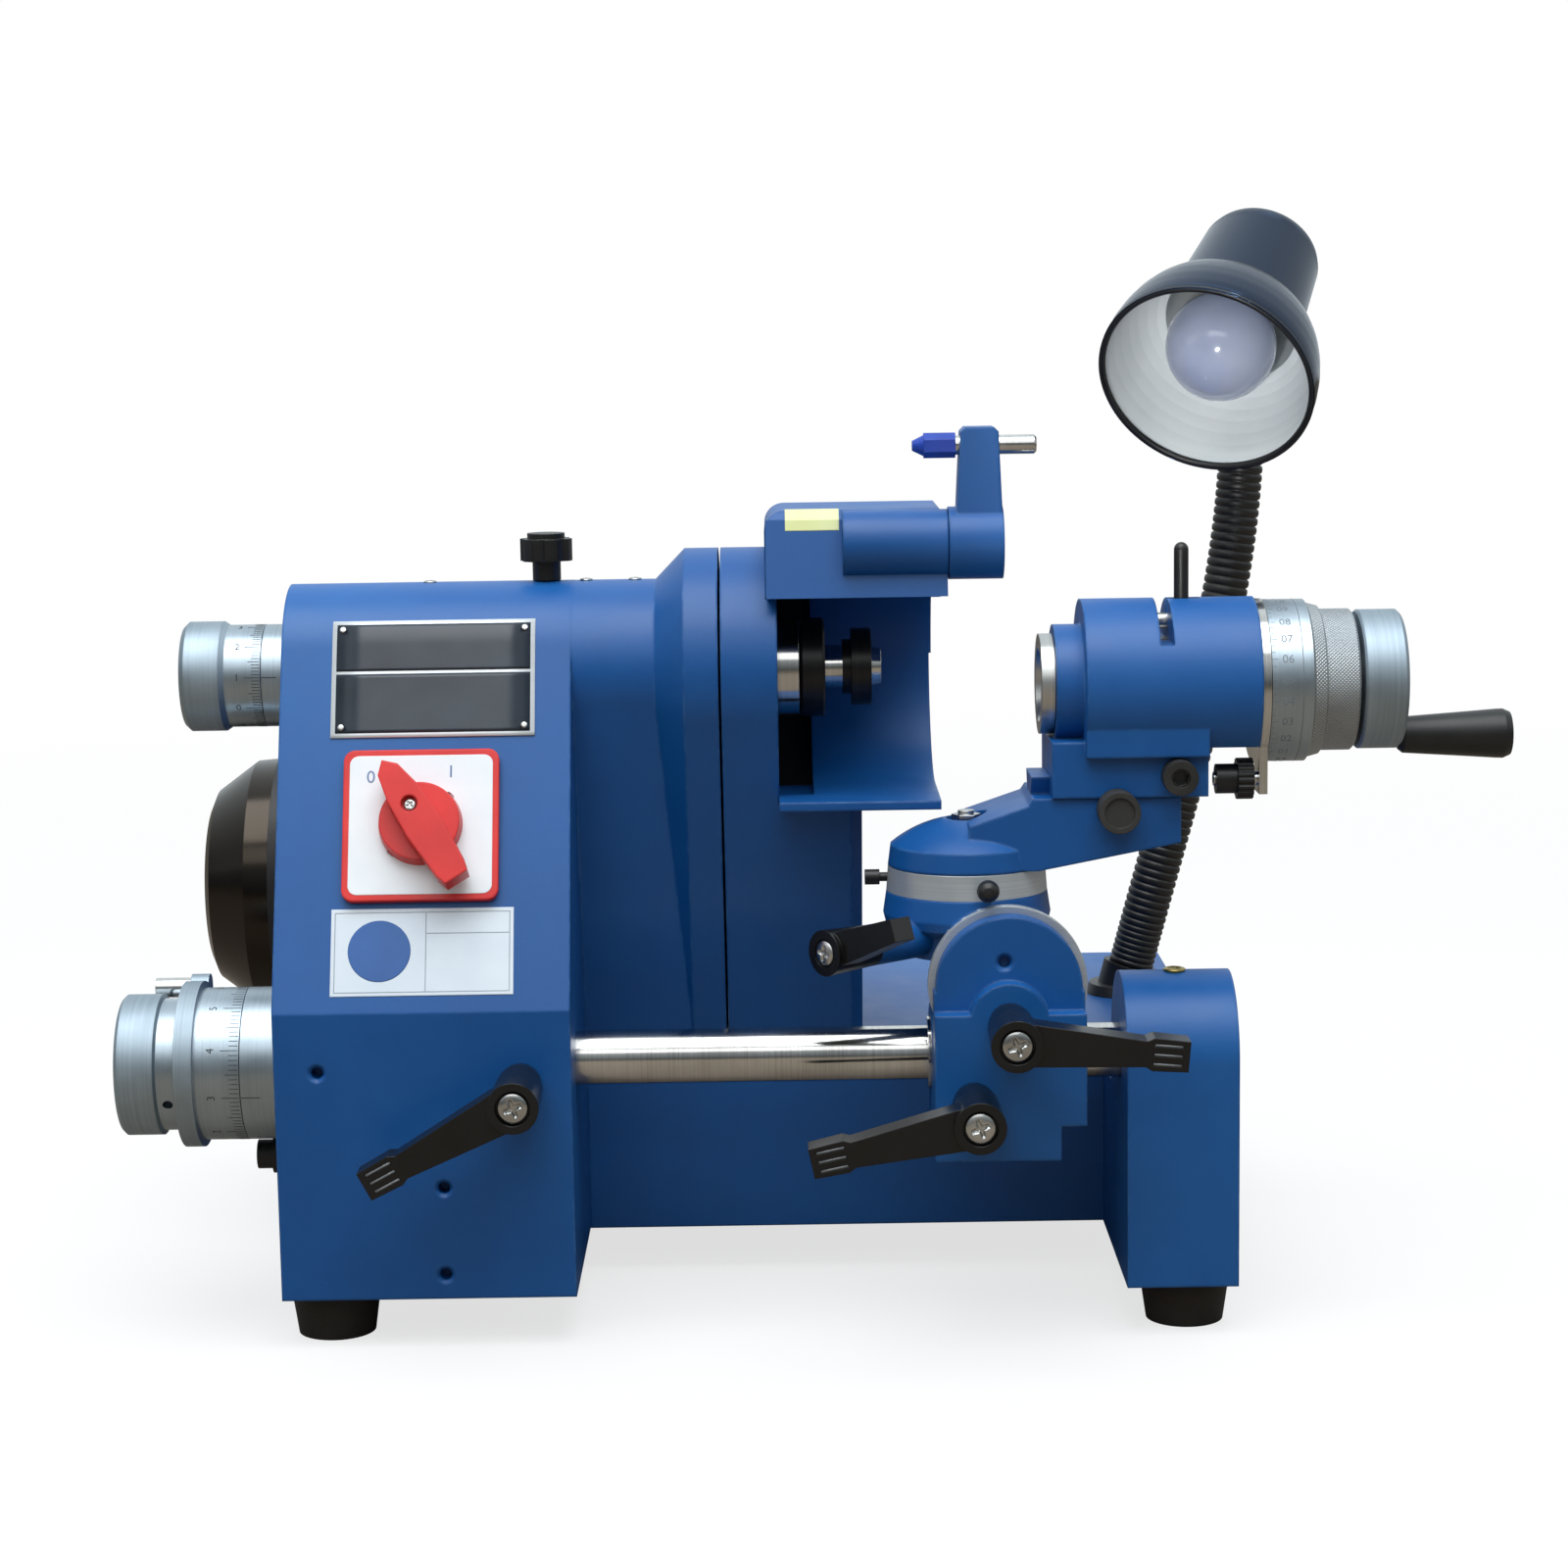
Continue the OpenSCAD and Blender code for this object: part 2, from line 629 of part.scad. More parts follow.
module motor_rotor() color(steel) {
  xcyl(motor_x0 - fan_room + 10, bc_x0 + 19, motor_y, motor_z, rotor_shaft_r);
  xcyl(motor_x0 + core_in, motor_x1 - core_in, motor_y, motor_z, motor_r - core_in);
  // cooling fan
  xcyl(motor_x0 - fan_room / 2 + 1, motor_x0 - fan_room / 2 + 5, motor_y, motor_z, motor_r - 18);
}

module motor_pulley() color(satin) difference() {
  xlathe(motor_y, motor_z) polygon([[rotor_shaft_r, bc_x0 + 4], [mo_pulley_r - 1, bc_x0 + 4],
    [mo_pulley_r, bc_x0 + 6], [mo_pulley_r, bc_x0 + 19.5], [mo_pulley_r - 1, bc_x0 + 21],
    [mo_pulley_r - 8, bc_x0 + 21], [mo_pulley_r - 8, bc_x0 + 12], [18, bc_x0 + 12],
    [18, bc_x0 + 21], [rotor_shaft_r, bc_x0 + 21]]);
  for (a = [0:60:300]) rotate_x_about(motor_y, motor_z, a)
    xcyl(bc_x0, bc_x0 + 25, motor_y, motor_z + 29, 6);
}
module rotate_x_about(y, z, a) {
  translate([0, y, z]) rotate([a, 0, 0]) translate([0, -y, -z]) children();
}

module spindle_pulley() color(satin) xlathe(sp_y, sp_z) polygon([[shaft_r, bc_x0 - 1.5],
  [sp_pulley_r - 1, bc_x0 - 1.5], [sp_pulley_r, bc_x0], [sp_pulley_r, bc_x0 + 15],
  [sp_pulley_r - 1, bc_x0 + 16.5], [shaft_r, bc_x0 + 16.5]]);

module spindle_sleeve() color(steel) difference() {
  xcyl(sleeve_x0, sleeve_x1, sp_y, sp_z, sleeve_r);
  xcyl(sleeve_x0 + 12, sleeve_x1 + 1, sp_y, sp_z, shaft_r + 4);
  xcyl(sleeve_x0 + 20, sleeve_x0 + 36, sp_y, sp_z, bearing_r);
  xcyl(sleeve_x1 - 20, sleeve_x1 + 1, sp_y, sp_z, bearing_r);
  xcyl(sleeve_x0 - 1, sleeve_x0 + 13, sp_y, sp_z, feed_stem_r + fit);
}

module spindle_bearings() color(satin) for (x = [sleeve_x0 + 20, sleeve_x1 - 20])
  difference() {
    xcyl(x, x + 16, sp_y, sp_z, bearing_r);
    xcyl(x - 1, x + 17, sp_y, sp_z, shaft_r + fit);
    // groove between the races
    xlathe(sp_y, sp_z) polygon([[bearing_r - 5, x - 1], [bearing_r - 3, x - 1],
      [bearing_r - 3, x + 1], [bearing_r - 5, x + 1]]);
  }

module wheel_spindle() color(steel) {
  xcyl(sleeve_x0 + 17, nut_x + nut_w, sp_y, sp_z, shaft_r);
  xcyl(nose_x, nose_x + nose_w, sp_y, sp_z, nose_r);
  xcone(nut_x + nut_w, nut_x + nut_w + 4.6, sp_y, sp_z, shaft_r - 1, shaft_r - 2);
}

module wheel_flange() color(black) xlathe(sp_y, sp_z) polygon([[shaft_r, nose_x + nose_w],
  [nose_r - 2, nose_x + nose_w], [nose_r, nose_x + nose_w + 1.5],
  [nose_r, nose_x + nose_w + flange_w - 1], [nose_r - 1, nose_x + nose_w + flange_w],
  [shaft_r, nose_x + nose_w + flange_w]]);

module wheel_nut() color(black) difference() {
  union() {
    xcyl(nut_x - 4, nut_x, sp_y, sp_z, shaft_r + 2.5);
    xcyl(nut_x, nut_x + nut_w, sp_y, sp_z, nut_r);
  }
  xcyl(nut_x - 5, nut_x + nut_w + 1, sp_y, sp_z, shaft_r);
  // two holes for the face spanner
  for (s = [-1, 1]) xcyl(nut_x + nut_w - 5, nut_x + nut_w + 1, sp_y + s * 13.8, sp_z, 2);
}

module spindle_feed_sleeve() color(satin) difference() {
  xcyl(hx0 - feed_sleeve_w, hx0, sp_y, sp_z, feed_r);
  xcyl(hx0 - feed_sleeve_w - 1, hx0 + 1, sp_y, sp_z, feed_stem_r + fit);
}

module spindle_feed_knob() color(satin) xlathe(sp_y, sp_z) {
  x1 = hx0 - feed_sleeve_w - gap;
  polygon([[0, x1 - 36.8], [feed_r - 0.5, x1 - 36.8], [feed_r + 1.7, x1 - 34.5], [feed_r + 1.7, x1 - 19],
    [feed_r, x1 - 16.5], [feed_r, x1], [feed_stem_r, x1], [feed_stem_r, sleeve_x0 + 10],
    [0, sleeve_x0 + 10]]);
}

module sleeve_lock_knob() color(black) {
  z1 = sp_z + neck_r;
  zcyl(sp_z + sleeve_r + gap, z1 + 11, knob_x, sp_y, knob_stem_r);
  zcyl(z1 + gap, z1 + 9, knob_x, sp_y, knob_stem_r + 2.4);
  difference() {
    union() {
      zcyl(z1 + 9, z1 + 19, knob_x, sp_y, 11.8);
      zcyl(z1 + 19, z1 + 21.5, knob_x, sp_y, 8.5);
    }
    // finger notches of the lobed rim
    for (a = [0:60:300]) translate([knob_x, sp_y, z1 + 8]) rotate([0, 0, a + 15])
      translate([14.2, 0, 0]) cylinder(h = 12, r = 4.2);
  }
}

module rod_feed_sleeve() color(satin) difference() {
  xcyl(hx0 - dial_sleeve_w, hx0, rod_y, rod_z, dial_r);
  xcyl(hx0 - dial_sleeve_w - 1, hx0 + 1, rod_y, rod_z, dial_screw_r + fit);
}

module rod_feed_dial() color(satin) difference() {
  union() {
    xlathe(rod_y, rod_z) polygon([[dial_screw_r, dial_ring_x - 35], [dial_r - 4, dial_ring_x - 35],
      [dial_r - 2.5, dial_ring_x - 33.5], [dial_r - 2.5, dial_ring_x - 18],
      [dial_r - 4.5, dial_ring_x - 17], [dial_r - 4.5, dial_ring_x - 8],
      [dial_r + 3, dial_ring_x - 8], [dial_r + 3, dial_ring_x], [dial_r, dial_ring_x],
      [dial_r, dial_x1], [dial_screw_r, dial_x1]]);
    // lug of the clamp screw
    dial_lug_place() xcyl(dial_ring_x - 8, dial_ring_x, 0, 0, 6);
  }
  dial_lug_place() xcyl(dial_ring_x - 9, dial_ring_x - 1, 0, 0, 2.5 + fit);
  // set screw of the knob
  translate([dial_ring_x - 12.5, rod_y, rod_z]) rotate([115, 0, 0])
    translate([0, 0, dial_r - 12]) cylinder(h = 12, r = 2.2);
}
module dial_lug_place() {
  translate([0, rod_y + dial_lug_r * cos(56), rod_z + dial_lug_r * sin(56)]) children();
}

module rod_feed_screw() color(steel)
  xcyl(dial_ring_x - 32, hx0 + 48, rod_y, rod_z, dial_screw_r);

module dial_lock_screw() color(steel) dial_lug_place() {
  xcyl(dial_ring_x - 12, dial_ring_x - 2, 0, 0, 2.5);
  xcyl(dial_ring_x - 24, dial_ring_x - 8 - gap, 0, 0, 4.4);
}

module guide_rod() color(steel) difference() {
  xcyl(hx0 + 15, ped_x1 - wall - 6, rod_y, rod_z, rod_r);
  xcyl(hx0 + 14, hx0 + 60, rod_y, rod_z, dial_screw_r + fit);
}

module rod_lock_lever() color(black) translate([lock_x, front_y, lock_z])
  rotate([90, 0, 0]) rotate([0, 0, 208]) clamp_lever(lever_arm, rod_y - front_y - rod_r - 2);

module switch_bezel() color(red) on_panel(switch_x, switch_s) difference() {
  rounded_plate(switch_w, 5, switch_t);
  translate([0, 0, -1]) rounded_plate(switch_w - 2 * switch_rim, 3, switch_t + 2);
}
module rounded_plate(w, r, t) {
  linear_extrude(t) {
    square([w - 2 * r, w], center = true);
    square([w, w - 2 * r], center = true);
    for (sx = [-1, 1], sy = [-1, 1]) translate([sx * (w / 2 - r), sy * (w / 2 - r)]) circle(r);
  }
}
module switch_face() color(white) on_panel(switch_x, switch_s) difference() {
  rounded_plate(switch_w - 2 * switch_rim, 3, switch_t - 1);
  translate([0, 0, -1]) cylinder(h = switch_t + 2, r = 4 + fit);
}
module switch_knob() color(red) on_panel(switch_x, switch_s) rotate([0, 0, 122]) difference() {
  union() {
    translate([0, 0, -6]) cylinder(h = switch_t + 8, r = 4);
    translate([0, 0, switch_t - 1 + gap]) cylinder(h = 7, r1 = 18.5, r2 = 17.5);
    // pointer bar, blunt at the tail and sharp at the head
    translate([0, 0, switch_t + 5]) linear_extrude(12) polygon([[-33, -5.5], [-28, -7], [-6, -8.5],
      [12, -7.5], [24, -5], [29, 0], [24, 5], [12, 7.5], [-6, 8.5], [-28, 7], [-33, 5.5]]);
  }
  translate([6, 0, switch_t + 14]) cylinder(h = 5, r = 3.6);
}

module cable_gland() color(black) {
  xcyl(hx0 - 8, hx0, rod_y + 10, rod_z - dial_r - 10.5, 8.5);
  xcyl(hx0 - 15, hx0 - 8, rod_y + 10, rod_z - dial_r - 10.5, 6.5);
}

module dresser_arm() color(paint) difference() {
  union() {
    xcyl(dress_x0, dress_x0 + arm_w, dress_y, dress_z, dress_r + 1);
    // arm narrowing to the diamond rod
    yprism(dress_y - arm_t / 2, dress_y + arm_t / 2) polygon([[dress_x0 + 3, dress_z],
      [dress_x0 + 5.5, diamond_z + 6], [dress_x0 + 7.5, diamond_z + 8], [dress_x0 + 20, diamond_z + 8],
      [dress_x0 + 22, diamond_z + 6], [dress_x0 + arm_w, dress_z + 4], [dress_x0 + arm_w, dress_z]]);
    xcyl(dress_x0 - 38, dress_x0 + 1, dress_y, dress_z, dress_shaft_r);
  }
  xcyl(dress_x0 - 1, dress_x0 + arm_w + 1, dress_y, diamond_z, diamond_r + fit);
}

module diamond_rod() color(steel) {
  xcyl(diamond_x0 + cap_len - 10, diamond_x1 - 1, dress_y, diamond_z, diamond_r);
  xcone(diamond_x1 - 1, diamond_x1, dress_y, diamond_z, diamond_r, diamond_r - 1);
}

module diamond_cap() color(paint) difference() {
  union() {
    translate([diamond_x0 + cap_tip, dress_y, diamond_z]) rotate([0, 90, 0])
      cylinder(h = cap_len - cap_tip, r = diamond_r + 1.3, $fn = 6);
    xcone(diamond_x0, diamond_x0 + cap_tip, dress_y, diamond_z, 2.2, diamond_r + 0.4);
  }
  xcyl(diamond_x0 + cap_len - 10, diamond_x0 + cap_len + 1, dress_y, diamond_z, diamond_r);
}

module saddle_bush() color(steel) difference() {
  xcyl(saddle_x0 - 1.5, saddle_x1 + 1.5, rod_y, rod_z, bush_r);
  xcyl(saddle_x0 - 3, saddle_x1 + 3, rod_y, rod_z, rod_r + fit);
}

module saddle() color(paint) difference() {
  union() {
    // hub round the bush and the block under it
    xcyl(saddle_x0, saddle_x1, rod_y, rod_z, hub_r);
    box(saddle_x0, saddle_x1, plate_y0, rod_y + hub_r - 6, saddle_z0, tilt_z - plate_r - 5);
    // round plate that carries the tilt body
    yprism(plate_y0, plate_y0 + plate_t) {
      translate([saddle_x, tilt_z]) circle(plate_r);
      translate([saddle_x - plate_r, saddle_z0]) square([2 * plate_r, tilt_z - saddle_z0]);
      translate([saddle_x0, saddle_z0]) square([saddle_w, tilt_z - saddle_z0 - 1]);
    }
    // raised front with the boss of the tilt lever
    yprism(saddle_y0, plate_y0 + 1) {
      translate(tilt_hole) circle(17);
      translate([saddle_x0, saddle_z0]) square([saddle_w, tilt_z - saddle_z0 - 9.5]);
    }
  }
  // notch of the lower corner
  box(saddle_x1 - 11, saddle_x1 + 1, saddle_y0 - 1, rod_y + hub_r + 1, saddle_z0 - 1, saddle_z0 + 15);
  // clamp slit behind the rod
  box(saddle_x0 - 1, saddle_x1 + 1, rod_y + bush_r - 2, rod_y + hub_r + 1, rod_z - 1.5, rod_z + 1.5);
  xcyl(saddle_x0 - 1, saddle_x1 + 1, rod_y, rod_z, bush_r + fit);
  ycyl(plate_y0 + pin_skin, plate_y0 + plate_t + 1, saddle_x, tilt_z, tilt_pin_r + fit);
  ycyl(saddle_y0 - 1, saddle_y0 + 7.2, tilt_hole[0], tilt_hole[1], lever_stud_r + fit);
  ycyl(saddle_y0 - 1, saddle_y0 + 14, saddle_hole[0], saddle_hole[1], lever_stud_r + fit);
  translate([saddle_x - 2, plate_y0, tilt_z + 12]) rotate([90, 0, 0]) tapped_hole(6);
}

module saddle_lock_lever() color(black) translate([saddle_hole[0], saddle_y0, saddle_hole[1]])
  rotate([90, 0, 0]) rotate([0, 0, 192]) clamp_lever(lever_arm, 13);

module tilt_lock_lever() color(black) translate([tilt_hole[0], saddle_y0, tilt_hole[1]])
  rotate([90, 0, 0]) rotate([0, 0, -5]) clamp_lever(lever_arm, 7);

module tilt_body() color(paint) difference() {
  union() {
    // graduated disc with its pin, behind the saddle's plate
    ycyl(disc_y0, disc_y0 + disc_t, saddle_x, tilt_z, plate_r + 3);
    ycyl(plate_y0 + pin_skin + gap, disc_y0 + 1, saddle_x, tilt_z, tilt_pin_r);
    // neck and seat of the swivel
    translate([sw_x, sw_y, 0]) rotate_extrude() polygon([[pivot_r + fit, neck_z0], [29, neck_z0],
      [30, ring_z0 - 18], [seat_r - 1, ring_z0 - 14], [seat_r, ring_z0 - 10], [swivel_r, ring_z0],
      [pivot_r + fit, ring_z0]]);
    difference() {
      box(sw_x, saddle_x + 20, disc_y0 + 1, sw_y + 26, neck_z0, ring_z0 - 12);
      zcyl(neck_z0 - 1, ring_z0 + 1, sw_x, sw_y, pivot_r + 6);
    }
    // boss of the swivel lock
    swivel_lock_place() translate([0, 0, -34]) cylinder(h = 34, r = lever_hub_r - 2);
  }
  swivel_lock_place() translate([0, 0, -10]) cylinder(h = 11, r = lever_stud_r + fit);
}
// base of the swivel lock lever, pointing to the front left
module swivel_lock_place() {
  translate([sw_x - 44, sw_y - 37, ring_z0 - 18]) rotate([0, 0, -140]) rotate([0, 90, 0])
    rotate([0, 0, 110]) children();
}
module swivel_lock_lever() color(black) swivel_lock_place() short_lever();
module short_lever() {
  difference() {
    union() {
      translate([0, 0, gap]) cylinder(h = 26, r1 = lever_hub_r - 2, r2 = lever_hub_r - 1);
      translate([0, 0, 13]) linear_extrude(11) polygon([[0, -7.5], [44, -5], [44, 5], [0, 7.5]]);
      translate([0, 0, -8]) cylinder(h = 9, r = lever_stud_r);
    }
    translate([0, 0, 24]) cylinder(h = 4, r = 6);
  }
}

module swivel_ring() color(satin) translate([sw_x, sw_y, ring_z0]) difference() {
  cylinder(h = swivel_h, r1 = swivel_r, r2 = swivel_r - 0.8);
  translate([0, 0, -1]) cylinder(h = swivel_h + 2, r = pivot_r + fit);
  // holes of the stop screw and of the index pin
  translate([-swivel_r + 10, 0, swivel_h / 2]) rotate([0, -90, 0]) cylinder(h = 20, r = 2 + fit);
  translate([7, -swivel_r + 14, swivel_h / 2]) rotate([90, 0, 0]) cylinder(h = 20, r = 2.5 + fit);
}

module swivel_stop_screw() color(black) translate([sw_x, sw_y, ring_z0 + swivel_h / 2]) {
  translate([-swivel_r + 9, 0, 0]) rotate([0, -90, 0]) cylinder(h = 12, r = 2);
  translate([-swivel_r - 3, 0, 0]) rotate([0, -90, 0]) cylinder(h = 6.5, r = 3.4);
}

module swivel_index_knob() color(black) translate([sw_x + 7, sw_y, ring_z0 + swivel_h / 2]) {
  translate([0, -swivel_r + 12.5, 0]) rotate([90, 0, 0]) cylinder(h = 14, r = 2.5);
  translate([0, -swivel_r - 1, 0]) rotate([90, 0, 0]) rotate_extrude() polygon([[0, 0], [3, 0],
    [4.6, 2.5], [4.9, 5], [4.2, 8], [2.4, 9.6], [0, 10]]);
}

module bracket_arm() color(paint) difference() {
  union() {
    // round foot with a domed top
    translate([sw_x, sw_y, arm_z0]) cylinder(h = arm_foot_h, r1 = swivel_r - 0.8, r2 = dome_r);
    intersection() {
      zcyl(arm_z0 + arm_foot_h - 0.1, arm_z0 + 40, sw_x, sw_y, dome_r - skim);
      translate([sw_x, sw_y, arm_z0 + arm_foot_h + dome_h - dome_ball]) sphere(r = dome_ball);
    }
    // arm rising to the slide
    intersection() {
      yprism(sw_y - arm_half, sw_y + arm_half) polygon([[sw_x, arm_z0], [sw_x + 30, arm_z0],
        [arm_x1, rail_z - 20], [arm_x1, rail_z], [block_x0 - 8, rail_z],
        [block_x0 - 10, rail_z - 3], [sw_x, arm_z0 + arm_foot_h + dome_h - 1]]);
      union() {
        zcyl(arm_z0 - 1, rail_z + 1, sw_x, sw_y, swivel_r - 1.5);
        box(sw_x + 20, arm_x1 + 1, sw_y - arm_half, sw_y + arm_half, arm_z0 - 1, rail_z + 1);
      }
    }
    // dovetail rail
    xprism(block_x0 - 8, arm_x1) polygon([[wk_y - rail_w0 / 2, rail_z - 1], [wk_y + rail_w0 / 2, rail_z - 1],
      [wk_y + rail_w0 / 2, rail_z], [wk_y + rail_w1 / 2, rail_z + rail_h],
      [wk_y - rail_w1 / 2, rail_z + rail_h], [wk_y - rail_w0 / 2, rail_z]]);
    // pivot that turns in the swivel seat
    zcyl(neck_z0 + 4, arm_z0 + 1, sw_x, sw_y, pivot_r);
  }
  // seat of the pivot nut
  zcyl(nut_z, rail_z, sw_x, sw_y, 9);
  ycyl(wk_y - arm_half - 1, wk_y - rail_w0 / 2 - 2, slide_lock[0], slide_lock[1], 3 + fit);
}
slide_lock = [block_x0 + 28, rail_z - 4.5];
slide_stop = [block_x0 + 54.5, rail_z + 9.8];

module swivel_nut() color(steel) translate([sw_x, sw_y, nut_z]) {
  cylinder(h = 4.4, r = 6.5, $fn = 6);
  translate([0, 0, 4.4]) cylinder(h = 1.6, r = 3.6);
}

module workhead_housing() color(paint) difference() {
  union() {
    xcyl(house_x0, house_x1, wk_y, wk_z, house_r);
    xcyl(house_x0 - nose_out, house_x0 + 1, wk_y, wk_z, work_r + 6);
    box(block_x0, block_x1, wk_y - block_w / 2, wk_y + block_w / 2, rail_z + gap, block_top);
    box(house_x0, block_x1, wk_y - house_r + 4, wk_y + house_r - 4, wk_z - house_r + 8, wk_z);
  }
  // flat under the overhanging end, where the stop sits
  box(block_x1, house_x1 + 1, wk_y - house_r - 1, wk_y + house_r + 1,
    wk_z - house_r - 1, wk_z - work_r - 6);
  // slot of the index bolt and its bore
  box(slot_x, slot_x + slot_gap, wk_y - house_r - 1, wk_y + house_r + 1, bolt_z - 8, wk_z + house_r + 1);
  xcyl(slot_x - 22, house_x1 + 1, wk_y, bolt_z, bolt_r + fit);
  box(slot_x + slot_gap - 1, slot_x + slot_gap + 14, wk_y - 3.6, wk_y + 3.6, bolt_z, wk_z + house_r + 1);
  // bore of the work spindle
  xcyl(house_x0 - nose_out - 1, house_x1 + 1, wk_y, wk_z, work_r + fit);
  // dovetail slot
  xprism(block_x0 - 1, block_x1 + 1) polygon([[wk_y - rail_w0 / 2 - gap, rail_z - 1],
    [wk_y + rail_w0 / 2 + gap, rail_z - 1], [wk_y + rail_w0 / 2 + gap, rail_z],
    [wk_y + rail_w1 / 2 + gap, rail_z + rail_h + gap], [wk_y - rail_w1 / 2 - gap, rail_z + rail_h + gap],
    [wk_y - rail_w0 / 2 - gap, rail_z]]);
  ycyl(wk_y - block_w / 2 - 1, wk_y - rail_w1 / 2 - 2, slide_stop[0], slide_stop[1], 3 + fit);
}

module stop_plate() color(steel) difference() {
  union() {
    xcyl(house_x1, plate_x1, wk_y, wk_z, house_r - 1);
    box(house_x1, plate_x1, stop_y - 8, stop_y + 8, stop_z - 6, wk_z - 20);
    // stud of the stop nut
    xcyl(house_x1 - 19, house_x1 + 1, stop_y, stop_z, stop_stud_r);
  }
  xcyl(house_x1 - 1, plate_x1 + 1, wk_y, wk_z, work_r + 2);
  xcyl(house_x1 - 1, plate_x1 + 1, wk_y, bolt_z, bolt_r + 0.5);
}

module stop_nut() color(black) difference() {
  union() {
    xcyl(house_x1 - 9, house_x1 - 2, stop_y, stop_z, 9);
    xcyl(house_x1 - 18, house_x1 - 9, stop_y, stop_z, 6.5);
  }
  xcyl(house_x1 - 20, house_x1 - 1, stop_y, stop_z, stop_stud_r + fit);
  for (a = [0:20:340]) rotate_x_about(stop_y, stop_z, a)
    xcyl(house_x1 - 10, house_x1 - 1, stop_y, stop_z + 9.4, 1);
}

module slide_lock_knob() color(black) {
  y0 = wk_y - block_w / 2;
  ycyl(y0 - 2, wk_y - arm_half + 11, slide_lock[0], slide_lock[1], 3);
  difference() {
    ycyl(y0 - 13, y0 - gap, slide_lock[0], slide_lock[1], 9);
    ycyl(y0 - 14, y0 - 12, slide_lock[0], slide_lock[1], 6.5);
  }
}

module slide_stop_screw() color(black) difference() {
  union() {
    ycyl(wk_y - block_w / 2 - 2, wk_y - block_w / 2 + 10, slide_stop[0], slide_stop[1], 3);
    ycyl(wk_y - block_w / 2 - 10, wk_y - block_w / 2 - gap, slide_stop[0], slide_stop[1], 7.6);
  }
  ycyl(wk_y - block_w / 2 - 11, wk_y - block_w / 2 - 4, slide_stop[0], slide_stop[1], 4);
}

module index_bolt() color(black) {
  xcyl(slot_x - 10, plate_x1 - 0.6, wk_y, bolt_z, bolt_r);
  zcyl(bolt_z, wk_z + house_r + 21, slot_x + slot_gap + 6.4, wk_y, 3.2);
}

module work_spindle() color(steel) difference() {
  union() {
    xcyl(house_x0 - nose_out - gap, hand_x0 - 6, wk_y, wk_z, work_r);
    xcyl(house_x0 - nose_out - 6.2, house_x0 - nose_out - gap, wk_y, wk_z, work_r + work_lip);
  }
  // collet bore with its taper, then the drawbar bore
  xcyl(house_x0 - 20, house_x0 + 46, wk_y, wk_z, collet_d / 2);
  xcone(house_x0 - 18.3, house_x0 - 14, wk_y, wk_z, collet_d / 2 + 2.6, collet_d / 2);
  xcyl(house_x0 + 45, hand_x0, wk_y, wk_z, drawbar_r + fit);
}

module index_dial() color(satin) difference() {
  xlathe(wk_y, wk_z) polygon([[work_r, dialx], [house_r - 1.5, dialx], [house_r - 1.5, dialx + 18],
    [house_r - 3, dialx + 18.8], [house_r - 4.4, dialx + dial_w], [house_r - 6, dialx + dial_w + 0.5],
    [house_r - 6, collar_x1 - 1], [house_r - 7, collar_x1], [work_r, collar_x1]]);
  // notches for the index bolt
  for (a = [0:15:345]) rotate_x_about(wk_y, wk_z, a)
    xcyl(dialx - 1, dialx + 6, wk_y, bolt_z, bolt_r + 0.3);
}

module handwheel() color(satin) {
  xlathe(wk_y, wk_z) polygon([[0, house_x0 + 52], [drawbar_r, house_x0 + 52], [drawbar_r, hand_x0 - 2],
    [15, hand_x0 - 2], [15, hand_x0], [hand_d / 2 - 1, hand_x0], [hand_d / 2, hand_x0 + 1],
    [hand_d / 2, hand_x1 - 1.5], [hand_d / 2 - 1.5, hand_x1], [hand_d / 2 - 6, hand_x1],
    [hand_d / 2 - 8, hand_x1 - 4], [12, hand_x1 - 4], [10, hand_x1], [0, hand_x1]]);
  // pad and pin of the crank grip
  xcyl(hand_x1 - 6, hand_x1, wk_y, wk_z - grip_in, 5.4);
  xcyl(hand_x1 - 1, hand_x1 + grip_len - 8, wk_y, wk_z - grip_in, grip_pin_r);
}

module crank_grip() color(black) xlathe(wk_y, wk_z - grip_in) {
  x0 = hand_x1 + gap;
  polygon([[grip_pin_r + fit, x0], [6.4, x0], [8, x0 + 2], [8.8, x0 + 14], [9.6, x0 + 26],
    [10.8, x0 + grip_len - 6], [10.9, x0 + grip_len - 3], [9.6, x0 + grip_len],
    [0, x0 + grip_len], [0, x0 + grip_len - 6], [grip_pin_r + fit, x0 + grip_len - 6]]);
}

module lamp_socket() color(black) {
  translate(lamp_foot) cylinder(h = 5, r1 = goose_r + 8, r2 = goose_r + 6);
  difference() {
    translate(lamp_foot) rotate([0, goose_lean, 0]) translate([0, 0, -3])
      cylinder(h = lamp_neck + 3, r = goose_r + 2.5);
    translate(lamp_foot - [50, 50, 20]) cube([100, 100, 20]);
  }
}

// route of the gooseneck: straight, one smooth bend, straight
function bezier(t) = let (u = 1 - t, p1 = goose_b + 70 * goose_dir, p2 = goose_c - [0, 0, 80])
  u * u * u * goose_b + 3 * u * u * t * p1 + 3 * u * t * t * p2 + t * t * t * goose_c;
function route(t) = t < 0.1 ? goose_a + (t / 0.1) * (goose_b - goose_a)
  : t > 0.9 ? goose_c + ((t - 0.9) / 0.1) * (goose_d_end - goose_c)
  : bezier((t - 0.1) / 0.8);
function heading(t) = let (v = route(min(1, t + 0.002)) - route(max(0, t - 0.002))) v / norm(v);
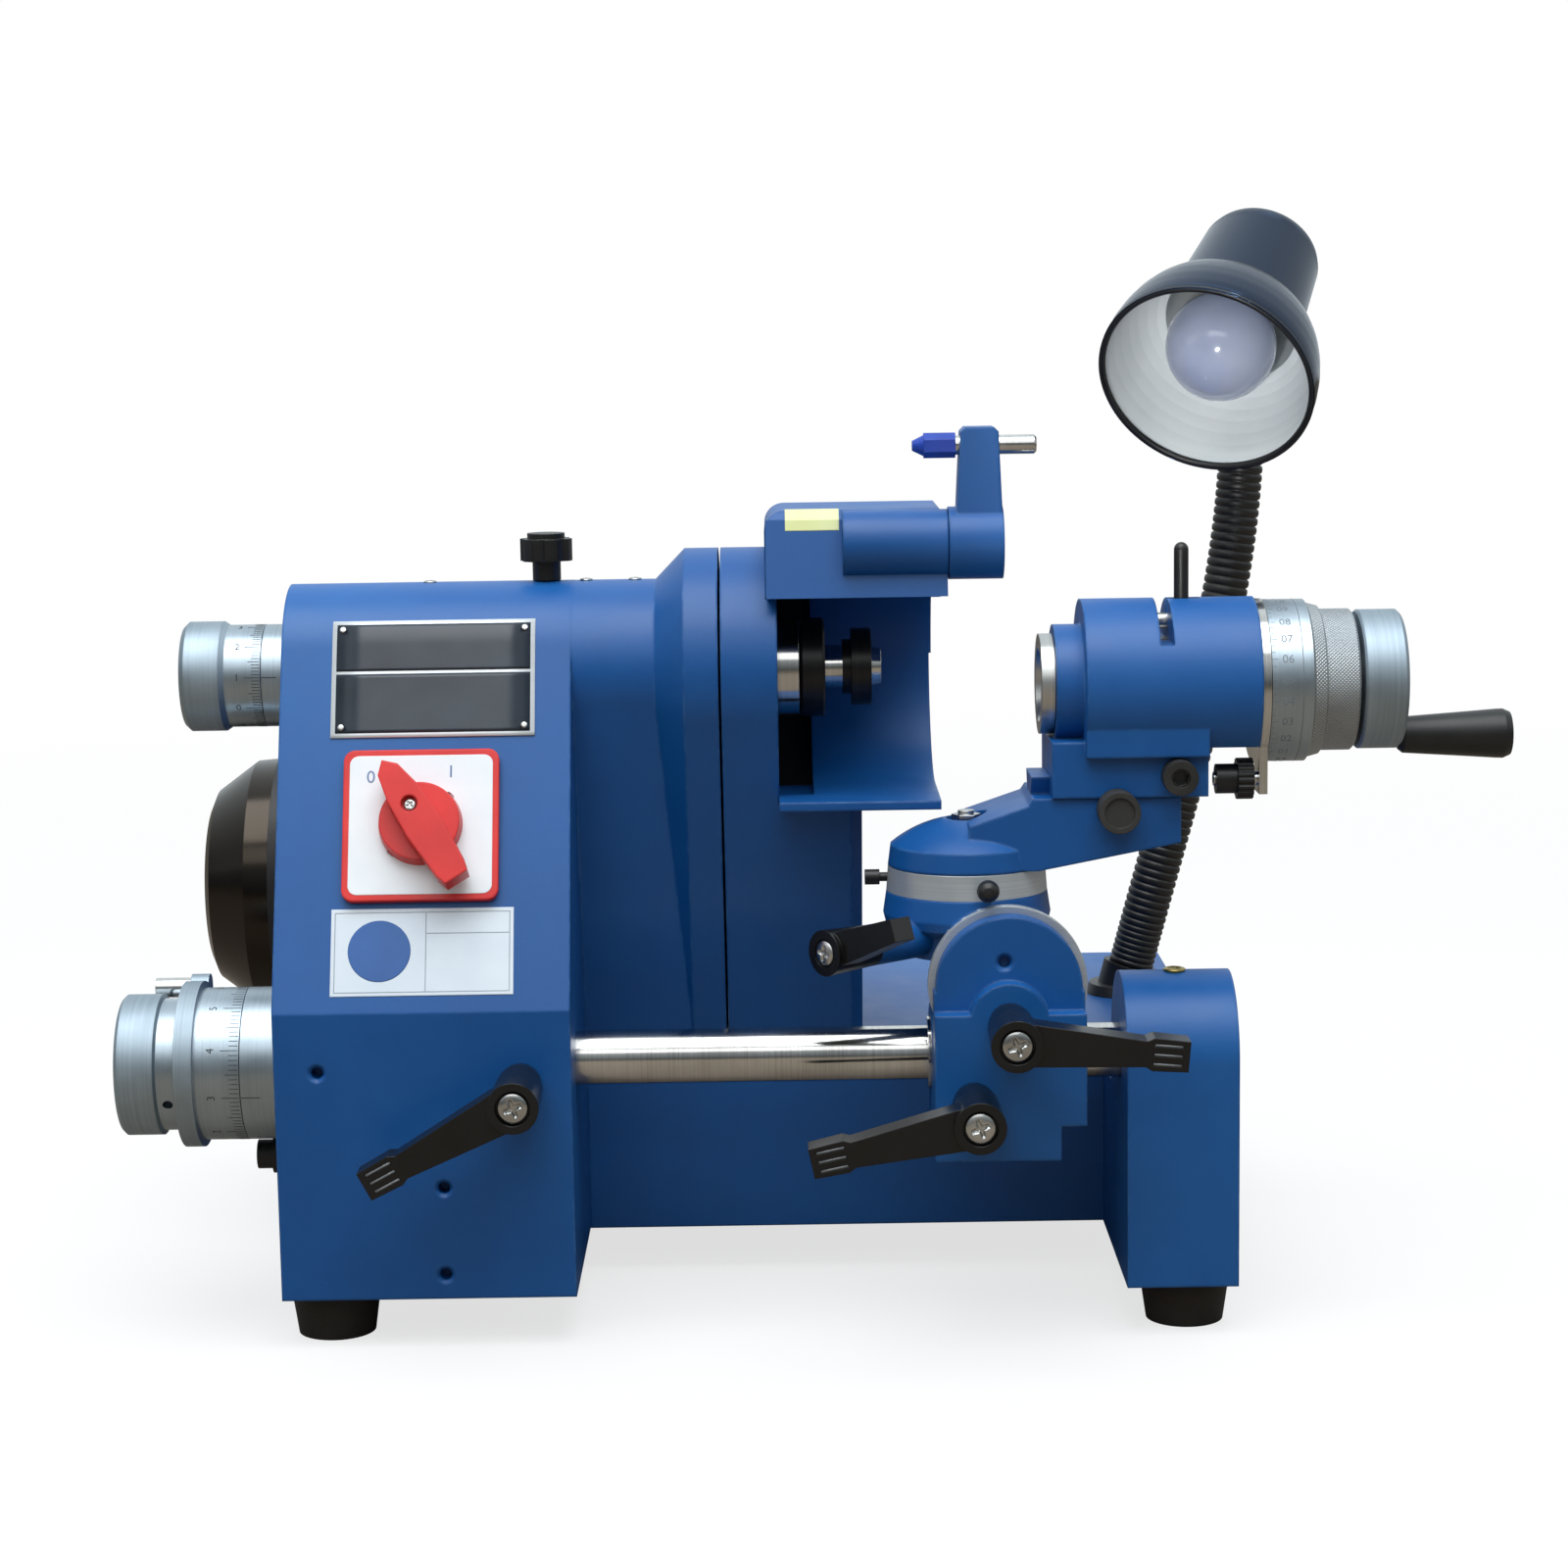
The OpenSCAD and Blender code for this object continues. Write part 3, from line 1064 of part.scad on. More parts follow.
// ring of a tube round the route, eight-sided
function tube_ring(t, r) = let (h = heading(t), n0 = cross([0, 1, 0], h), n = n0 / norm(n0),
  b = cross(h, n)) [for (k = [0:7]) route(t) + r * (cos(45 * k) * n + sin(45 * k) * b)];
module lamp_gooseneck() color(black) {
  deep = 2.6;
  bore = goose_r - 5;
  steps = 2 * goose_n;
  outer = [for (i = [0:steps]) each tube_ring(i / steps, i % 2 == 0 ? goose_r - deep : goose_r)];
  inner = [for (i = [0:steps]) each tube_ring(i / steps, bore)];
  m = 8 * (steps + 1);
  side = [for (i = [0:steps - 1], k = [0:7]) let (a = 8 * i + k, b = 8 * i + (k + 1) % 8)
    [[a, b, b + 8], [a, b + 8, a + 8]]];
  lining = [for (i = [0:steps - 1], k = [0:7]) let (a = m + 8 * i + k, b = m + 8 * i + (k + 1) % 8)
    [[a, b + 8, b], [a, a + 8, b + 8]]];
  caps = [for (k = [0:7]) let (j = (k + 1) % 8, e = 8 * steps)
    [[k, m + k, m + j], [k, m + j, j], [e + k, e + j, m + e + j], [e + k, m + e + j, m + e + k]]];
  polyhedron(concat(outer, inner), [for (g = concat(side, lining, caps)) each g], convexity = 10);
}

// shade frame: Z runs from the opening back along the can
module on_shade() {
  translate(shade_c) rotate([0, shade_tip, shade_az]) children();
}
module shade_profile(t) {
  polygon(concat([[0, -1], [shade_r - t, -1]],
    [for (i = [0:8]) let (a = i * 10) [can_r - t + (shade_r - can_r) * cos(a), bell_len * sin(a) / sin(80)]],
    [[can_r - t, shade_len - dome_len - t]],
    [for (i = [1:6]) let (a = i * 15) [(can_r - t) * cos(a), shade_len - dome_len - t + dome_len * sin(a)]]));
}
module lamp_shade() color(black) {
  difference() {
    union() {
      on_shade() rotate_extrude() difference() {
        shade_profile(0);
        translate([0, -2]) square([shade_r + 1, 2]);
      }
      zcyl(goose_d_end[2], goose_d_end[2] + stub_h, goose_d_end[0], goose_d_end[1], stub_r);
    }
    on_shade() rotate_extrude() shade_profile(shade_t);
  }
}
module lamp_holder() color(white) on_shade() difference() {
  union() {
    translate([0, 0, holder_at]) cylinder(h = shade_len - 15 - holder_at, r = holder_r);
    // stem that is screwed to the end of the can
    translate([0, 0, shade_len - 16]) cylinder(h = 13.5, r = 8);
  }
  translate([0, 0, holder_at - 1]) cylinder(h = 30, r = cap_r + 0.5);
}
module lamp_bulb() color(white) on_shade() {
  translate([0, 0, bulb_at]) sphere(r = bulb_r);
  translate([0, 0, bulb_at + 16]) cylinder(h = 14, r1 = 20, r2 = cap_r);
  translate([0, 0, bulb_at + 29]) cylinder(h = holder_at - bulb_at, r = cap_r);
}

bed_casting();
headstock_casting();
rod_pedestal();
belt_cover();
wheel_guard();
rubber_feet();
drive_belt();
motor_shell();
motor_fan_cover();
motor_end_bell();
switch_bezel();
switch_face();
spindle_feed_sleeve();
rod_feed_sleeve();
cable_gland();
lamp_socket();
lamp_gooseneck();
spindle_sleeve();
spindle_bearings();
wheel_spindle();
spindle_pulley();
wheel_flange();
wheel_nut();
motor_rotor();
motor_pulley();
spindle_feed_knob();
sleeve_lock_knob();
switch_knob();
rod_lock_lever();
dresser_arm();
diamond_rod();
diamond_cap();
rod_feed_dial();
rod_feed_screw();
dial_lock_screw();
guide_rod();
saddle_bush();
saddle();
saddle_lock_lever();
tilt_lock_lever();
tilt_body();
swivel_ring();
swivel_lock_lever();
swivel_stop_screw();
swivel_index_knob();
bracket_arm();
swivel_nut();
workhead_housing();
stop_plate();
stop_nut();
slide_lock_knob();
slide_stop_screw();
index_bolt();
work_spindle();
index_dial();
handwheel();
crank_grip();
lamp_shade();
lamp_holder();
lamp_bulb();
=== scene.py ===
import json
import math

import bmesh
import bpy
from mathutils import Matrix, Vector


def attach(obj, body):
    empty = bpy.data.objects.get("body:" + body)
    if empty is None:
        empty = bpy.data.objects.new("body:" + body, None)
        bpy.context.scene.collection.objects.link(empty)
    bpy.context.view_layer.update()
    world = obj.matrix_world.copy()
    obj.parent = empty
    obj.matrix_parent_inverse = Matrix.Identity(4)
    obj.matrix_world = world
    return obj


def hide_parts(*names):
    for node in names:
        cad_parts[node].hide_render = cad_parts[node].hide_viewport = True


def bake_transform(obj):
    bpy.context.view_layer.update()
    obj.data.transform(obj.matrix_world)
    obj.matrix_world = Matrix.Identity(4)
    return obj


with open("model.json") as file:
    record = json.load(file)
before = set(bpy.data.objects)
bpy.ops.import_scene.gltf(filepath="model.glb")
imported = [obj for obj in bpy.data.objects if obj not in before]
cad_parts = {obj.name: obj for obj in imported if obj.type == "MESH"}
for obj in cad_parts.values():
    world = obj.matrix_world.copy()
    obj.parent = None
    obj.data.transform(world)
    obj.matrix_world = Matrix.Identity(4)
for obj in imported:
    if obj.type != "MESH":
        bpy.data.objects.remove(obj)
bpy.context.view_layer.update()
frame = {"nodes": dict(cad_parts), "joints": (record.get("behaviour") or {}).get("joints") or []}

MM = 0.001
FULL_TURN = 2.0 * math.pi
RIGHT, FRONT, UP = (1.0, 0.0, 0.0), (0.0, -1.0, 0.0), (0.0, 0.0, 1.0)
nodes = frame["nodes"]
joints = {joint["name"]: joint for joint in frame["joints"]}


def joint_at(name):
    """Place of a joint of the frame, in millimetres."""
    return [value / MM for value in joints[name]["pos_m"]]


# Axes of joints, and places on the solids, in millimetres. PANEL_A is the slope of the panel.
_, SPINDLE_Y, SPINDLE_Z = joint_at("spindle_spin")
_, ROD_Y, ROD_Z = joint_at("rod_feed_turn")
_, WORK_Y, WORK_Z = joint_at("work_spindle_spin")
TILT_X, _, TILT_Z = joint_at("relief_tilt")
FRONT_Y, NECK_R = -127.0, 41.4
PANEL_Z, PANEL_A, PANEL_END = 148.6, math.radians(66.245), 166.6
SHADE_C, SHADE_AXIS = Vector((185.2, 23.0, 410.2)), Vector((0.3564, 0.7507, 0.5563))


# Node graphs of the materials and of the world.
class Tree:
    """Short ways to add shader nodes to a node tree that ends in one output node."""

    def __init__(self, tree, end):
        self.tree = tree
        tree.nodes.clear()
        self.end = tree.nodes.new(end)

    def show(self, shader):
        """Ends the tree in this shader."""
        self.tree.links.new(shader, self.end.inputs[0])

    def feed(self, socket, value):
        """Links the socket to value if that is a socket too, or sets it to value."""
        if isinstance(value, bpy.types.NodeSocket):
            self.tree.links.new(value, socket)
        else:
            socket.default_value = value

    def add(self, kind, inputs=(), out=0, **settings):
        """Adds a node, feeds its inputs, and gives one of its outputs."""
        made = self.tree.nodes.new(kind)
        for key, value in settings.items():
            setattr(made, key, value)
        for key, value in dict(inputs).items():
            self.feed(made.inputs[key], value)
        return made.outputs[out]

    def split(self, vector):
        """The three parts of a vector."""
        return self.add("ShaderNodeSeparateXYZ", {0: vector}).node.outputs

    def between(self, value, low, high, to_low, to_high):
        """Carries value from low..high over to to_low..to_high."""
        return self.add("ShaderNodeMapRange", {0: value, 1: low, 2: high, 3: to_low, 4: to_high})

    def math(self, kind, a, b):
        return self.add("ShaderNodeMath", {0: a, 1: b}, operation=kind)

    def seen_directly(self):
        """1 where the camera looks, 0 for light and reflections; for the floor and the world."""
        return self.add("ShaderNodeLightPath", out="Is Camera Ray")


class Graph(Tree):
    """One material with a Principled shader and textures in object space."""

    def __init__(self, name):
        self.material = bpy.data.materials.new(name)
        self.material.use_nodes = True
        super().__init__(self.material.node_tree, "ShaderNodeOutputMaterial")
        self.shader = self.tree.nodes.new("ShaderNodeBsdfPrincipled")
        self.show(self.shader.outputs[0])
        self.place = self.add("ShaderNodeTexCoord", out="Object")

    def set(self, **values):
        """Feeds the Principled shader's inputs and gives the material."""
        for key, value in values.items():
            self.feed(self.shader.inputs[key.replace("_", " ")], value)
        return self.material

    def scaled(self, x, y, z):
        return self.add("ShaderNodeMapping", {"Vector": self.place, "Scale": (x, y, z)})

    def noise(self, scale, detail=3.0, vector=None):
        inputs = {"Vector": vector or self.place, "Scale": scale, "Detail": detail}
        return self.add("ShaderNodeTexNoise", inputs)

    def weighted(self, a, b, share):
        """Sum of a share of a and the rest of b."""
        return self.math("ADD", self.math("MULTIPLY", a, share), self.math("MULTIPLY", b, 1.0 - share))

    def swing(self, noise, middle, share):
        """A value that a noise swings round middle, by a share of it each way."""
        return self.between(noise, 0.3, 0.7, middle * (1.0 - share), middle * (1.0 + share))

    def ramp(self, value, stops):
        made = self.tree.nodes.new("ShaderNodeValToRGB")
        points = made.color_ramp.elements
        while len(points) < len(stops):
            points.new(0.5)
        for point, (at, colour) in zip(points, stops):
            point.position = at
            point.color = (*colour, 1.0)
        self.tree.links.new(value, made.inputs[0])
        return made.outputs[0]

    def mix(self, share, a, b):
        return self.add("ShaderNodeMix", {0: share, 6: a, 7: b}, out=2, data_type="RGBA")

    def bump(self, height, distance, strength, under=None):
        inputs = {"Height": height, "Distance": distance, "Strength": strength}
        if under is not None:
            inputs["Normal"] = under
        return self.add("ShaderNodeBump", inputs)

    def soft_edge(self, radius):
        """Normal that rounds the sharp edges over radius, in metres."""
        return self.add("ShaderNodeBevel", {"Radius": radius}, samples=4)

    def edge_share(self, edge, start, full):
        """0 on open faces, 1 right at an edge, from how far the rounded normal turns."""
        plain = self.add("ShaderNodeNewGeometry", out="Normal")
        same = self.add("ShaderNodeVectorMath", {0: edge, 1: plain}, out=1, operation="DOT_PRODUCT")
        return self.between(same, start, full, 0.0, 1.0)


def rgb(red, green, blue):
    """A colour given in 0..255 display values, as the linear values that shaders take."""
    def linear(c):
        c /= 255.0
        return c / 12.92 if c <= 0.04045 else ((c + 0.055) / 1.055) ** 2.4
    return linear(red), linear(green), linear(blue)


def rgba(*colour):
    return (*rgb(*colour), 1.0)


def painted(name, dark, middle, light, dust_wear_and_highlight, edges=True):
    """Sprayed enamel on a casting: slow tone changes, orange peel, dust, and pale edges that are rubbed paint
    and a painted highlight.
    """
    g = Graph(name)
    cloud = g.noise(60.0, 5.0)
    tone = g.weighted(g.noise(4.0, 2.0), cloud, 0.8)
    base = g.ramp(tone, [(0.36, rgb(*dark)), (0.5, rgb(*middle)), (0.66, rgb(*light))])
    dust = g.between(g.noise(1500.0, 2.0), 0.69, 0.78, 0.0, 0.30)
    base = g.mix(dust, base, rgba(*dust_wear_and_highlight))
    edge = None
    if edges:
        edge = g.soft_edge(0.0017)
        # Edges turn pale: rubbed paint, and a painted highlight on the rounded edge.
        edge_wear_and_highlight = g.between(g.noise(130.0, 4.0), 0.46, 0.66, 0.0, 0.55)
        base = g.mix(g.math("MULTIPLY", g.edge_share(edge, 0.992, 0.90), edge_wear_and_highlight), base, rgba(*dust_wear_and_highlight))
    peel = g.bump(g.noise(380.0, 2.0), 0.00016, 0.22, edge)
    grain = g.bump(g.noise(2400.0, 2.0), 0.00004, 0.30, peel)
    return g.set(Base_Color=base, Roughness=g.between(cloud, 0.3, 0.7, 0.38, 0.46),
                 Specular_IOR_Level=0.42, Normal=grain)


def moulded(name, colour, second, rough, grain=0.00005, scale=1900.0, level=0.5, edge=0.0006,
            reflection_tint=(1.0, 1.0, 1.0)):
    """Moulded plastic or rubber with a fine grain and a faint bloom; the tint colours its reflections, a
    painted reflection where it is not white.
    """
    g = Graph(name)
    cloud = g.noise(38.0, 5.0)
    base = g.ramp(cloud, [(0.3, rgb(*colour)), (0.72, rgb(*second))])
    return g.set(Base_Color=base, Roughness=g.swing(cloud, rough, 0.15),
                 Specular_IOR_Level=level, Specular_Tint=(*reflection_tint, 1.0),
                 Normal=g.bump(g.noise(scale, 2.0), grain, 0.6, g.soft_edge(edge)))


def turned(name, colour, second, rough, along, lines=2600.0, metal=1.0):
    """Metal off the lathe: fine lines round the axis and patchy polish."""
    g = Graph(name)
    stretch = [14.0, 14.0, 14.0]
    stretch["XYZ".index(along)] = lines
    line = g.noise(1.0, 2.0, g.scaled(*stretch))
    patch = g.noise(30.0, 4.0)
    base = g.ramp(g.weighted(line, patch, 0.4), [(0.33, rgb(*colour)), (0.67, rgb(*second))])
    return g.set(Base_Color=base, Metallic=metal, Roughness=g.swing(patch, rough, 0.2),
                 Normal=g.bump(line, 0.00001, 0.35, g.soft_edge(0.0005)))


def knurled(name, colour, second, rough, cy, cz, count, pitch):
    """Turned metal with a diamond knurl round the axis along X through (cy, cz)."""
    g = Graph(name)
    x, y, z = g.split(g.place)
    from_y = g.math("SUBTRACT", y, cy * MM)
    from_z = g.math("SUBTRACT", z, cz * MM)
    turn = g.math("MULTIPLY", g.math("ARCTAN2", from_y, from_z), float(count))
    step = g.math("MULTIPLY", x, FULL_TURN / (pitch * MM))
    one = g.math("SINE", g.math("ADD", turn, step), 0.0)
    two = g.math("SINE", g.math("SUBTRACT", turn, step), 0.0)
    height = g.math("MINIMUM", one, two)
    patch = g.noise(30.0, 4.0)
    # Darker down in the knurl's grooves and lighter on its ridges: painted shade and painted highlight.
    tone = g.weighted(g.between(height, -1.0, 1.0, 0.0, 1.0), patch, 0.6)
    base = g.ramp(tone, [(0.12, rgb(*colour)), (0.62, rgb(*second))])
    return g.set(Base_Color=base, Metallic=1.0, Roughness=g.swing(patch, rough, 0.15),
                 Normal=g.bump(height, 0.00020, 0.6, g.soft_edge(0.0007)))


def milky(name, dark, light):
    """Milky glass with a clear coat."""
    g = Graph(name)
    veil = g.ramp(g.noise(28.0, 3.0), [(0.3, rgb(*dark)), (0.7, rgb(*light))])
    return g.set(Base_Color=veil, Roughness=g.between(g.noise(90.0, 3.0), 0.3, 0.7, 0.10, 0.16),
                 Subsurface_Weight=0.25, Subsurface_Radius=(0.01, 0.01, 0.012),
                 Coat_Weight=0.8, Coat_Roughness=0.05,
                 Normal=g.bump(g.noise(700.0, 2.0), 0.00002, 0.4))


# Blues of the enamel: dark, middle and light tones, and the pale blue of dust, rubbed edges and their painted
# highlight.
BLUES = (11, 77, 142), (14, 83, 150), (22, 91, 158), (84, 132, 186)
MATERIALS = {
    "blue": painted("blue_enamel", *BLUES),
    "blue_flat": painted("blue_enamel_flat", *BLUES, edges=False),
    "steel_x": turned("ground_steel_x", (182, 180, 176), (226, 225, 222), 0.14, "X"),
    "steel_soft": turned("brushed_steel_x", (168, 168, 166), (210, 210, 207), 0.30, "X"),
    "steel_z": turned("bright_steel_z", (160, 160, 160), (205, 205, 204), 0.24, "Z"),
    "satin_x": turned("satin_aluminium_x", (150, 163, 172), (178, 190, 199), 0.36, "X"),
    "satin_z": turned("satin_aluminium_z", (186, 193, 198), (214, 219, 222), 0.40, "Z", metal=0.7),
    "matte": turned("blasted_aluminium", (142, 156, 166), (168, 181, 190), 0.55, "X", lines=900.0),
    "dark_x": turned("blackened_steel_x", (24, 24, 25), (50, 49, 48), 0.34, "X", metal=0.6),
    # Black for the guard's slot: painted shade in the deep slot.
    "recess": moulded("guard_slot_painted_shade", (7, 7, 7), (14, 13, 13), 0.7),
    "lever": moulded("lever_black", (8, 8, 8), (17, 17, 17), 0.30, level=0.45),
    # Light grey of the lever ribs: a painted highlight.
    "lever_rib": moulded("lever_rib_painted_highlight", (84, 87, 90), (122, 125, 128), 0.34),
    "black": moulded("knob_black", (16, 16, 16), (31, 31, 31), 0.40, level=0.45),
    "charcoal": moulded("knob_charcoal", (40, 40, 39), (58, 57, 55), 0.55, grain=0.00012, scale=1400.0,
                        level=0.35),
    # Blue tint of the shade's reflections: a painted sky reflection.
    "gloss": moulded("gloss_black_blue_reflection", (5, 5, 6), (9, 8, 8), 0.12, grain=0.000004, scale=350.0, level=0.8,
                     edge=0.006, reflection_tint=(0.22, 0.47, 1.0)),
    # Warm tint of the fan cover's reflections: a painted reflection.
    "gloss_warm": moulded("cover_black_warm_reflection", (6, 5, 5), (11, 9, 8), 0.17, grain=0.000006, scale=350.0,
                          level=0.45, reflection_tint=(1.0, 0.82, 0.66)),
    "iron": moulded("motor_grey_black", (22, 22, 24), (42, 42, 44), 0.5, grain=0.00015, scale=700.0),
    "enamel": moulded("shade_white", (222, 228, 228), (233, 237, 236), 0.42, scale=500.0),
    "hose": moulded("hose_black", (17, 16, 16), (32, 30, 28), 0.42),
    "rubber": moulded("foot_rubber", (22, 18, 16), (44, 37, 32), 0.72, grain=0.0002, scale=900.0),
    "red": moulded("switch_red", (198, 24, 22), (220, 38, 32), 0.34, level=0.45, edge=0.0012),
    "white": moulded("switch_white", (222, 228, 233), (234, 238, 241), 0.38, level=0.45),
    "cap_blue": moulded("cap_blue", (12, 50, 148), (22, 66, 172), 0.34),
    "ceramic": moulded("holder_white", (200, 200, 196), (222, 222, 218), 0.4),
    "bulb": milky("milky_bulb", (158, 167, 192), (174, 183, 206)),
    "knurl_work": knurled("knurl_work", (134, 140, 144), (190, 195, 198), 0.42, WORK_Y, WORK_Z, 130, 1.6),
    "ink": moulded("ink_dark", (30, 32, 36), (46, 48, 52), 0.6),
    "ink_blue": moulded("ink_blue_grey", (96, 120, 160), (120, 142, 178), 0.6),
    "ink_faded": moulded("ink_faded", (104, 112, 120), (128, 136, 143), 0.6),
    "plate_dark": moulded("plate_dark", (30, 38, 48), (44, 53, 64), 0.36, grain=0.00002, scale=900.0),
    "plate_light": turned("plate_aluminium", (212, 218, 222), (228, 232, 235), 0.42, "Z", lines=1500.0,
                          metal=0.25),
    "label": moulded("label_white", (205, 217, 228), (218, 227, 235), 0.46, grain=0.00002),
    "label_blue": moulded("label_blue", (34, 84, 150), (44, 96, 164), 0.44, grain=0.00002),
    "label_grey": moulded("label_grey", (164, 174, 184), (178, 187, 196), 0.46, grain=0.00002),
    "sticker": moulded("sticker_yellow", (218, 224, 158), (228, 233, 180), 0.5, grain=0.00002),
    "screw": turned("screw_bright", (168, 168, 166), (210, 210, 207), 0.24, "Y", lines=900.0),
    "brass": turned("screw_brass", (150, 132, 74), (186, 168, 108), 0.34, "Z", lines=900.0),
    "socket": moulded("socket_black", (24, 24, 25), (44, 44, 45), 0.38),
}


# Finish of the solids: every node takes its material, and some of its faces a second one.
FINISH = {
    "blue": ["bed_casting", "headstock_casting", "rod_pedestal", "belt_cover", "wheel_guard", "dresser_arm",
             "saddle", "tilt_body", "bracket_arm", "workhead_housing"],
    "lever": ["rod_lock_lever", "saddle_lock_lever", "tilt_lock_lever", "swivel_lock_lever"],
    "black": ["sleeve_lock_knob", "stop_nut", "swivel_stop_screw", "swivel_index_knob", "cable_gland",
              "crank_grip", "index_bolt", "lamp_socket"],
    "charcoal": ["slide_lock_knob", "slide_stop_screw"],
    "dark_x": ["wheel_flange", "wheel_nut"],
    "iron": ["motor_shell", "motor_end_bell"],
    "gloss": ["lamp_shade"],
    "gloss_warm": ["motor_fan_cover"],
    "hose": ["drive_belt", "lamp_gooseneck"],
    "rubber": ["rubber_feet"],
    "red": ["switch_bezel", "switch_knob"],
    "white": ["switch_face"],
    "cap_blue": ["diamond_cap"],
    "ceramic": ["lamp_holder"],
    "bulb": ["lamp_bulb"],
    "steel_x": ["guide_rod", "diamond_rod", "wheel_spindle", "spindle_sleeve", "motor_rotor",
                "rod_feed_screw", "saddle_bush", "dial_lock_screw", "spindle_bearings", "stop_plate"],
    "steel_soft": ["work_spindle"],
    "steel_z": ["swivel_nut"],
    "satin_x": ["spindle_feed_sleeve", "spindle_feed_knob", "rod_feed_sleeve", "rod_feed_dial",
                "index_dial", "spindle_pulley", "motor_pulley"],
    "matte": ["handwheel"],
    "satin_z": ["swivel_ring"],
}
KNOB_GRIP_X = -264.2
DIAL_GRIP_X, DIAL_BAND_X = -287.5, (-279.2, -270.4)
INDEX_GRIP_X, INDEX_GRIP_R = 210.0, 29.0
WHEEL_END_X = 237.3
BOLT_PIN_Z = 312.4
SLOT_X, SLOT_WALL_R, SLOT_SIDE_R = (-15.6, 0.2), (58.0, 63.2), (50.0, 63.5)
TILT_DISC_Y, TILT_DISC_R = (-119.8, -114.5), 34.7
SHADE_LIP, CAP_DEPTH = 0.4, 60.0


def within(value, limits):
    return limits[0] < value < limits[1]


def on_dial_grip(at, normal):
    return at.x < DIAL_GRIP_X or within(at.x, DIAL_BAND_X)


def on_index_grip(at, normal):
    return at.x > INDEX_GRIP_X and math.hypot(at.y - WORK_Y, at.z - WORK_Z) > INDEX_GRIP_R


def in_guard_slot(at, normal):
    """Round wall and left side of the slot in the wheel guard, which take black as painted shade."""
    radius = math.hypot(at.y - SPINDLE_Y, at.z - SPINDLE_Z)
    wall = within(radius, SLOT_WALL_R) and abs(normal.x) < 0.2
    side = within(radius, SLOT_SIDE_R) and normal.x < -0.9
    return within(at.x, SLOT_X) and (wall or side)


def on_tilt_disc(at, normal):
    return within(at.y, TILT_DISC_Y) and math.hypot(at.x - TILT_X, at.z - TILT_Z) < TILT_DISC_R


def in_shade(at, normal):
    """Inner faces of the lamp's shade, which look back to its axis."""
    rel = at - SHADE_C
    along = rel.dot(SHADE_AXIS)
    outward = (rel - along * SHADE_AXIS).normalized()
    return along > SHADE_LIP and normal.dot(outward + 0.5 * SHADE_AXIS) < -0.05


SECOND_FINISH = (
    ("spindle_feed_knob", "matte", lambda at, normal: at.x < KNOB_GRIP_X),
    ("rod_feed_dial", "matte", on_dial_grip),
    ("index_dial", "knurl_work", on_index_grip),
    ("handwheel", "steel_x", lambda at, normal: at.x < WHEEL_END_X),
    ("index_bolt", "steel_soft", lambda at, normal: at.z < BOLT_PIN_Z),
    ("wheel_guard", "recess", in_guard_slot),
    ("tilt_body", "satin_z", on_tilt_disc),
    ("lamp_shade", "enamel", in_shade),
    ("lamp_bulb", "steel_z", lambda at, normal: (at - SHADE_C).dot(SHADE_AXIS) > CAP_DEPTH),
)

for key, names in FINISH.items():
    for name in names:
        nodes[name].data.materials.clear()
        nodes[name].data.materials.append(MATERIALS[key])
for name, key, chosen in SECOND_FINISH:
    mesh = nodes[name].data
    mesh.materials.append(MATERIALS[key])
    for face in mesh.polygons:
        if chosen(face.center / MM, face.normal):
            face.material_index = len(mesh.materials) - 1


# Pieces that the scene adds. Sizes in these helpers are millimetres.
def add_object(name, data):
    """New object of the scene that holds the data."""
    obj = bpy.data.objects.new(name, data)
    bpy.context.scene.collection.objects.link(obj)
    return obj


def piece(name, verts, faces, finish, body, smooth=False):
    """New mesh with the material called finish; it rides on body if there is one."""
    mesh = bpy.data.meshes.new(name)
    mesh.from_pydata([Vector(v) * MM for v in verts], [], faces)
    work = bmesh.new()
    work.from_mesh(mesh)
    bmesh.ops.recalc_face_normals(work, faces=work.faces)
    work.to_mesh(mesh)
    work.free()
    for face in mesh.polygons:
        face.use_smooth = smooth
    mesh.materials.append(MATERIALS[finish])
    obj = add_object(name, mesh)
    if body:
        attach(obj, body)
    return obj


def spread(a, b, n):
    """n values from a to b, evenly spaced."""
    return [a + (b - a) * i / (n - 1) for i in range(n)]


def circle(radius, sides):
    turns = [FULL_TURN * k / sides for k in range(sides)]
    return [(radius * math.cos(a), radius * math.sin(a)) for a in turns]


def ring_quads(rings, sides, first=0, closed=False):
    """Faces between rings of sides points each, listed one after the other from index first."""
    faces = []
    for i in range(rings if closed else rings - 1):
        a, b = first + i * sides, first + (i + 1) % rings * sides
        faces += [[a + k, a + (k + 1) % sides, b + (k + 1) % sides, b + k] for k in range(sides)]
    return faces


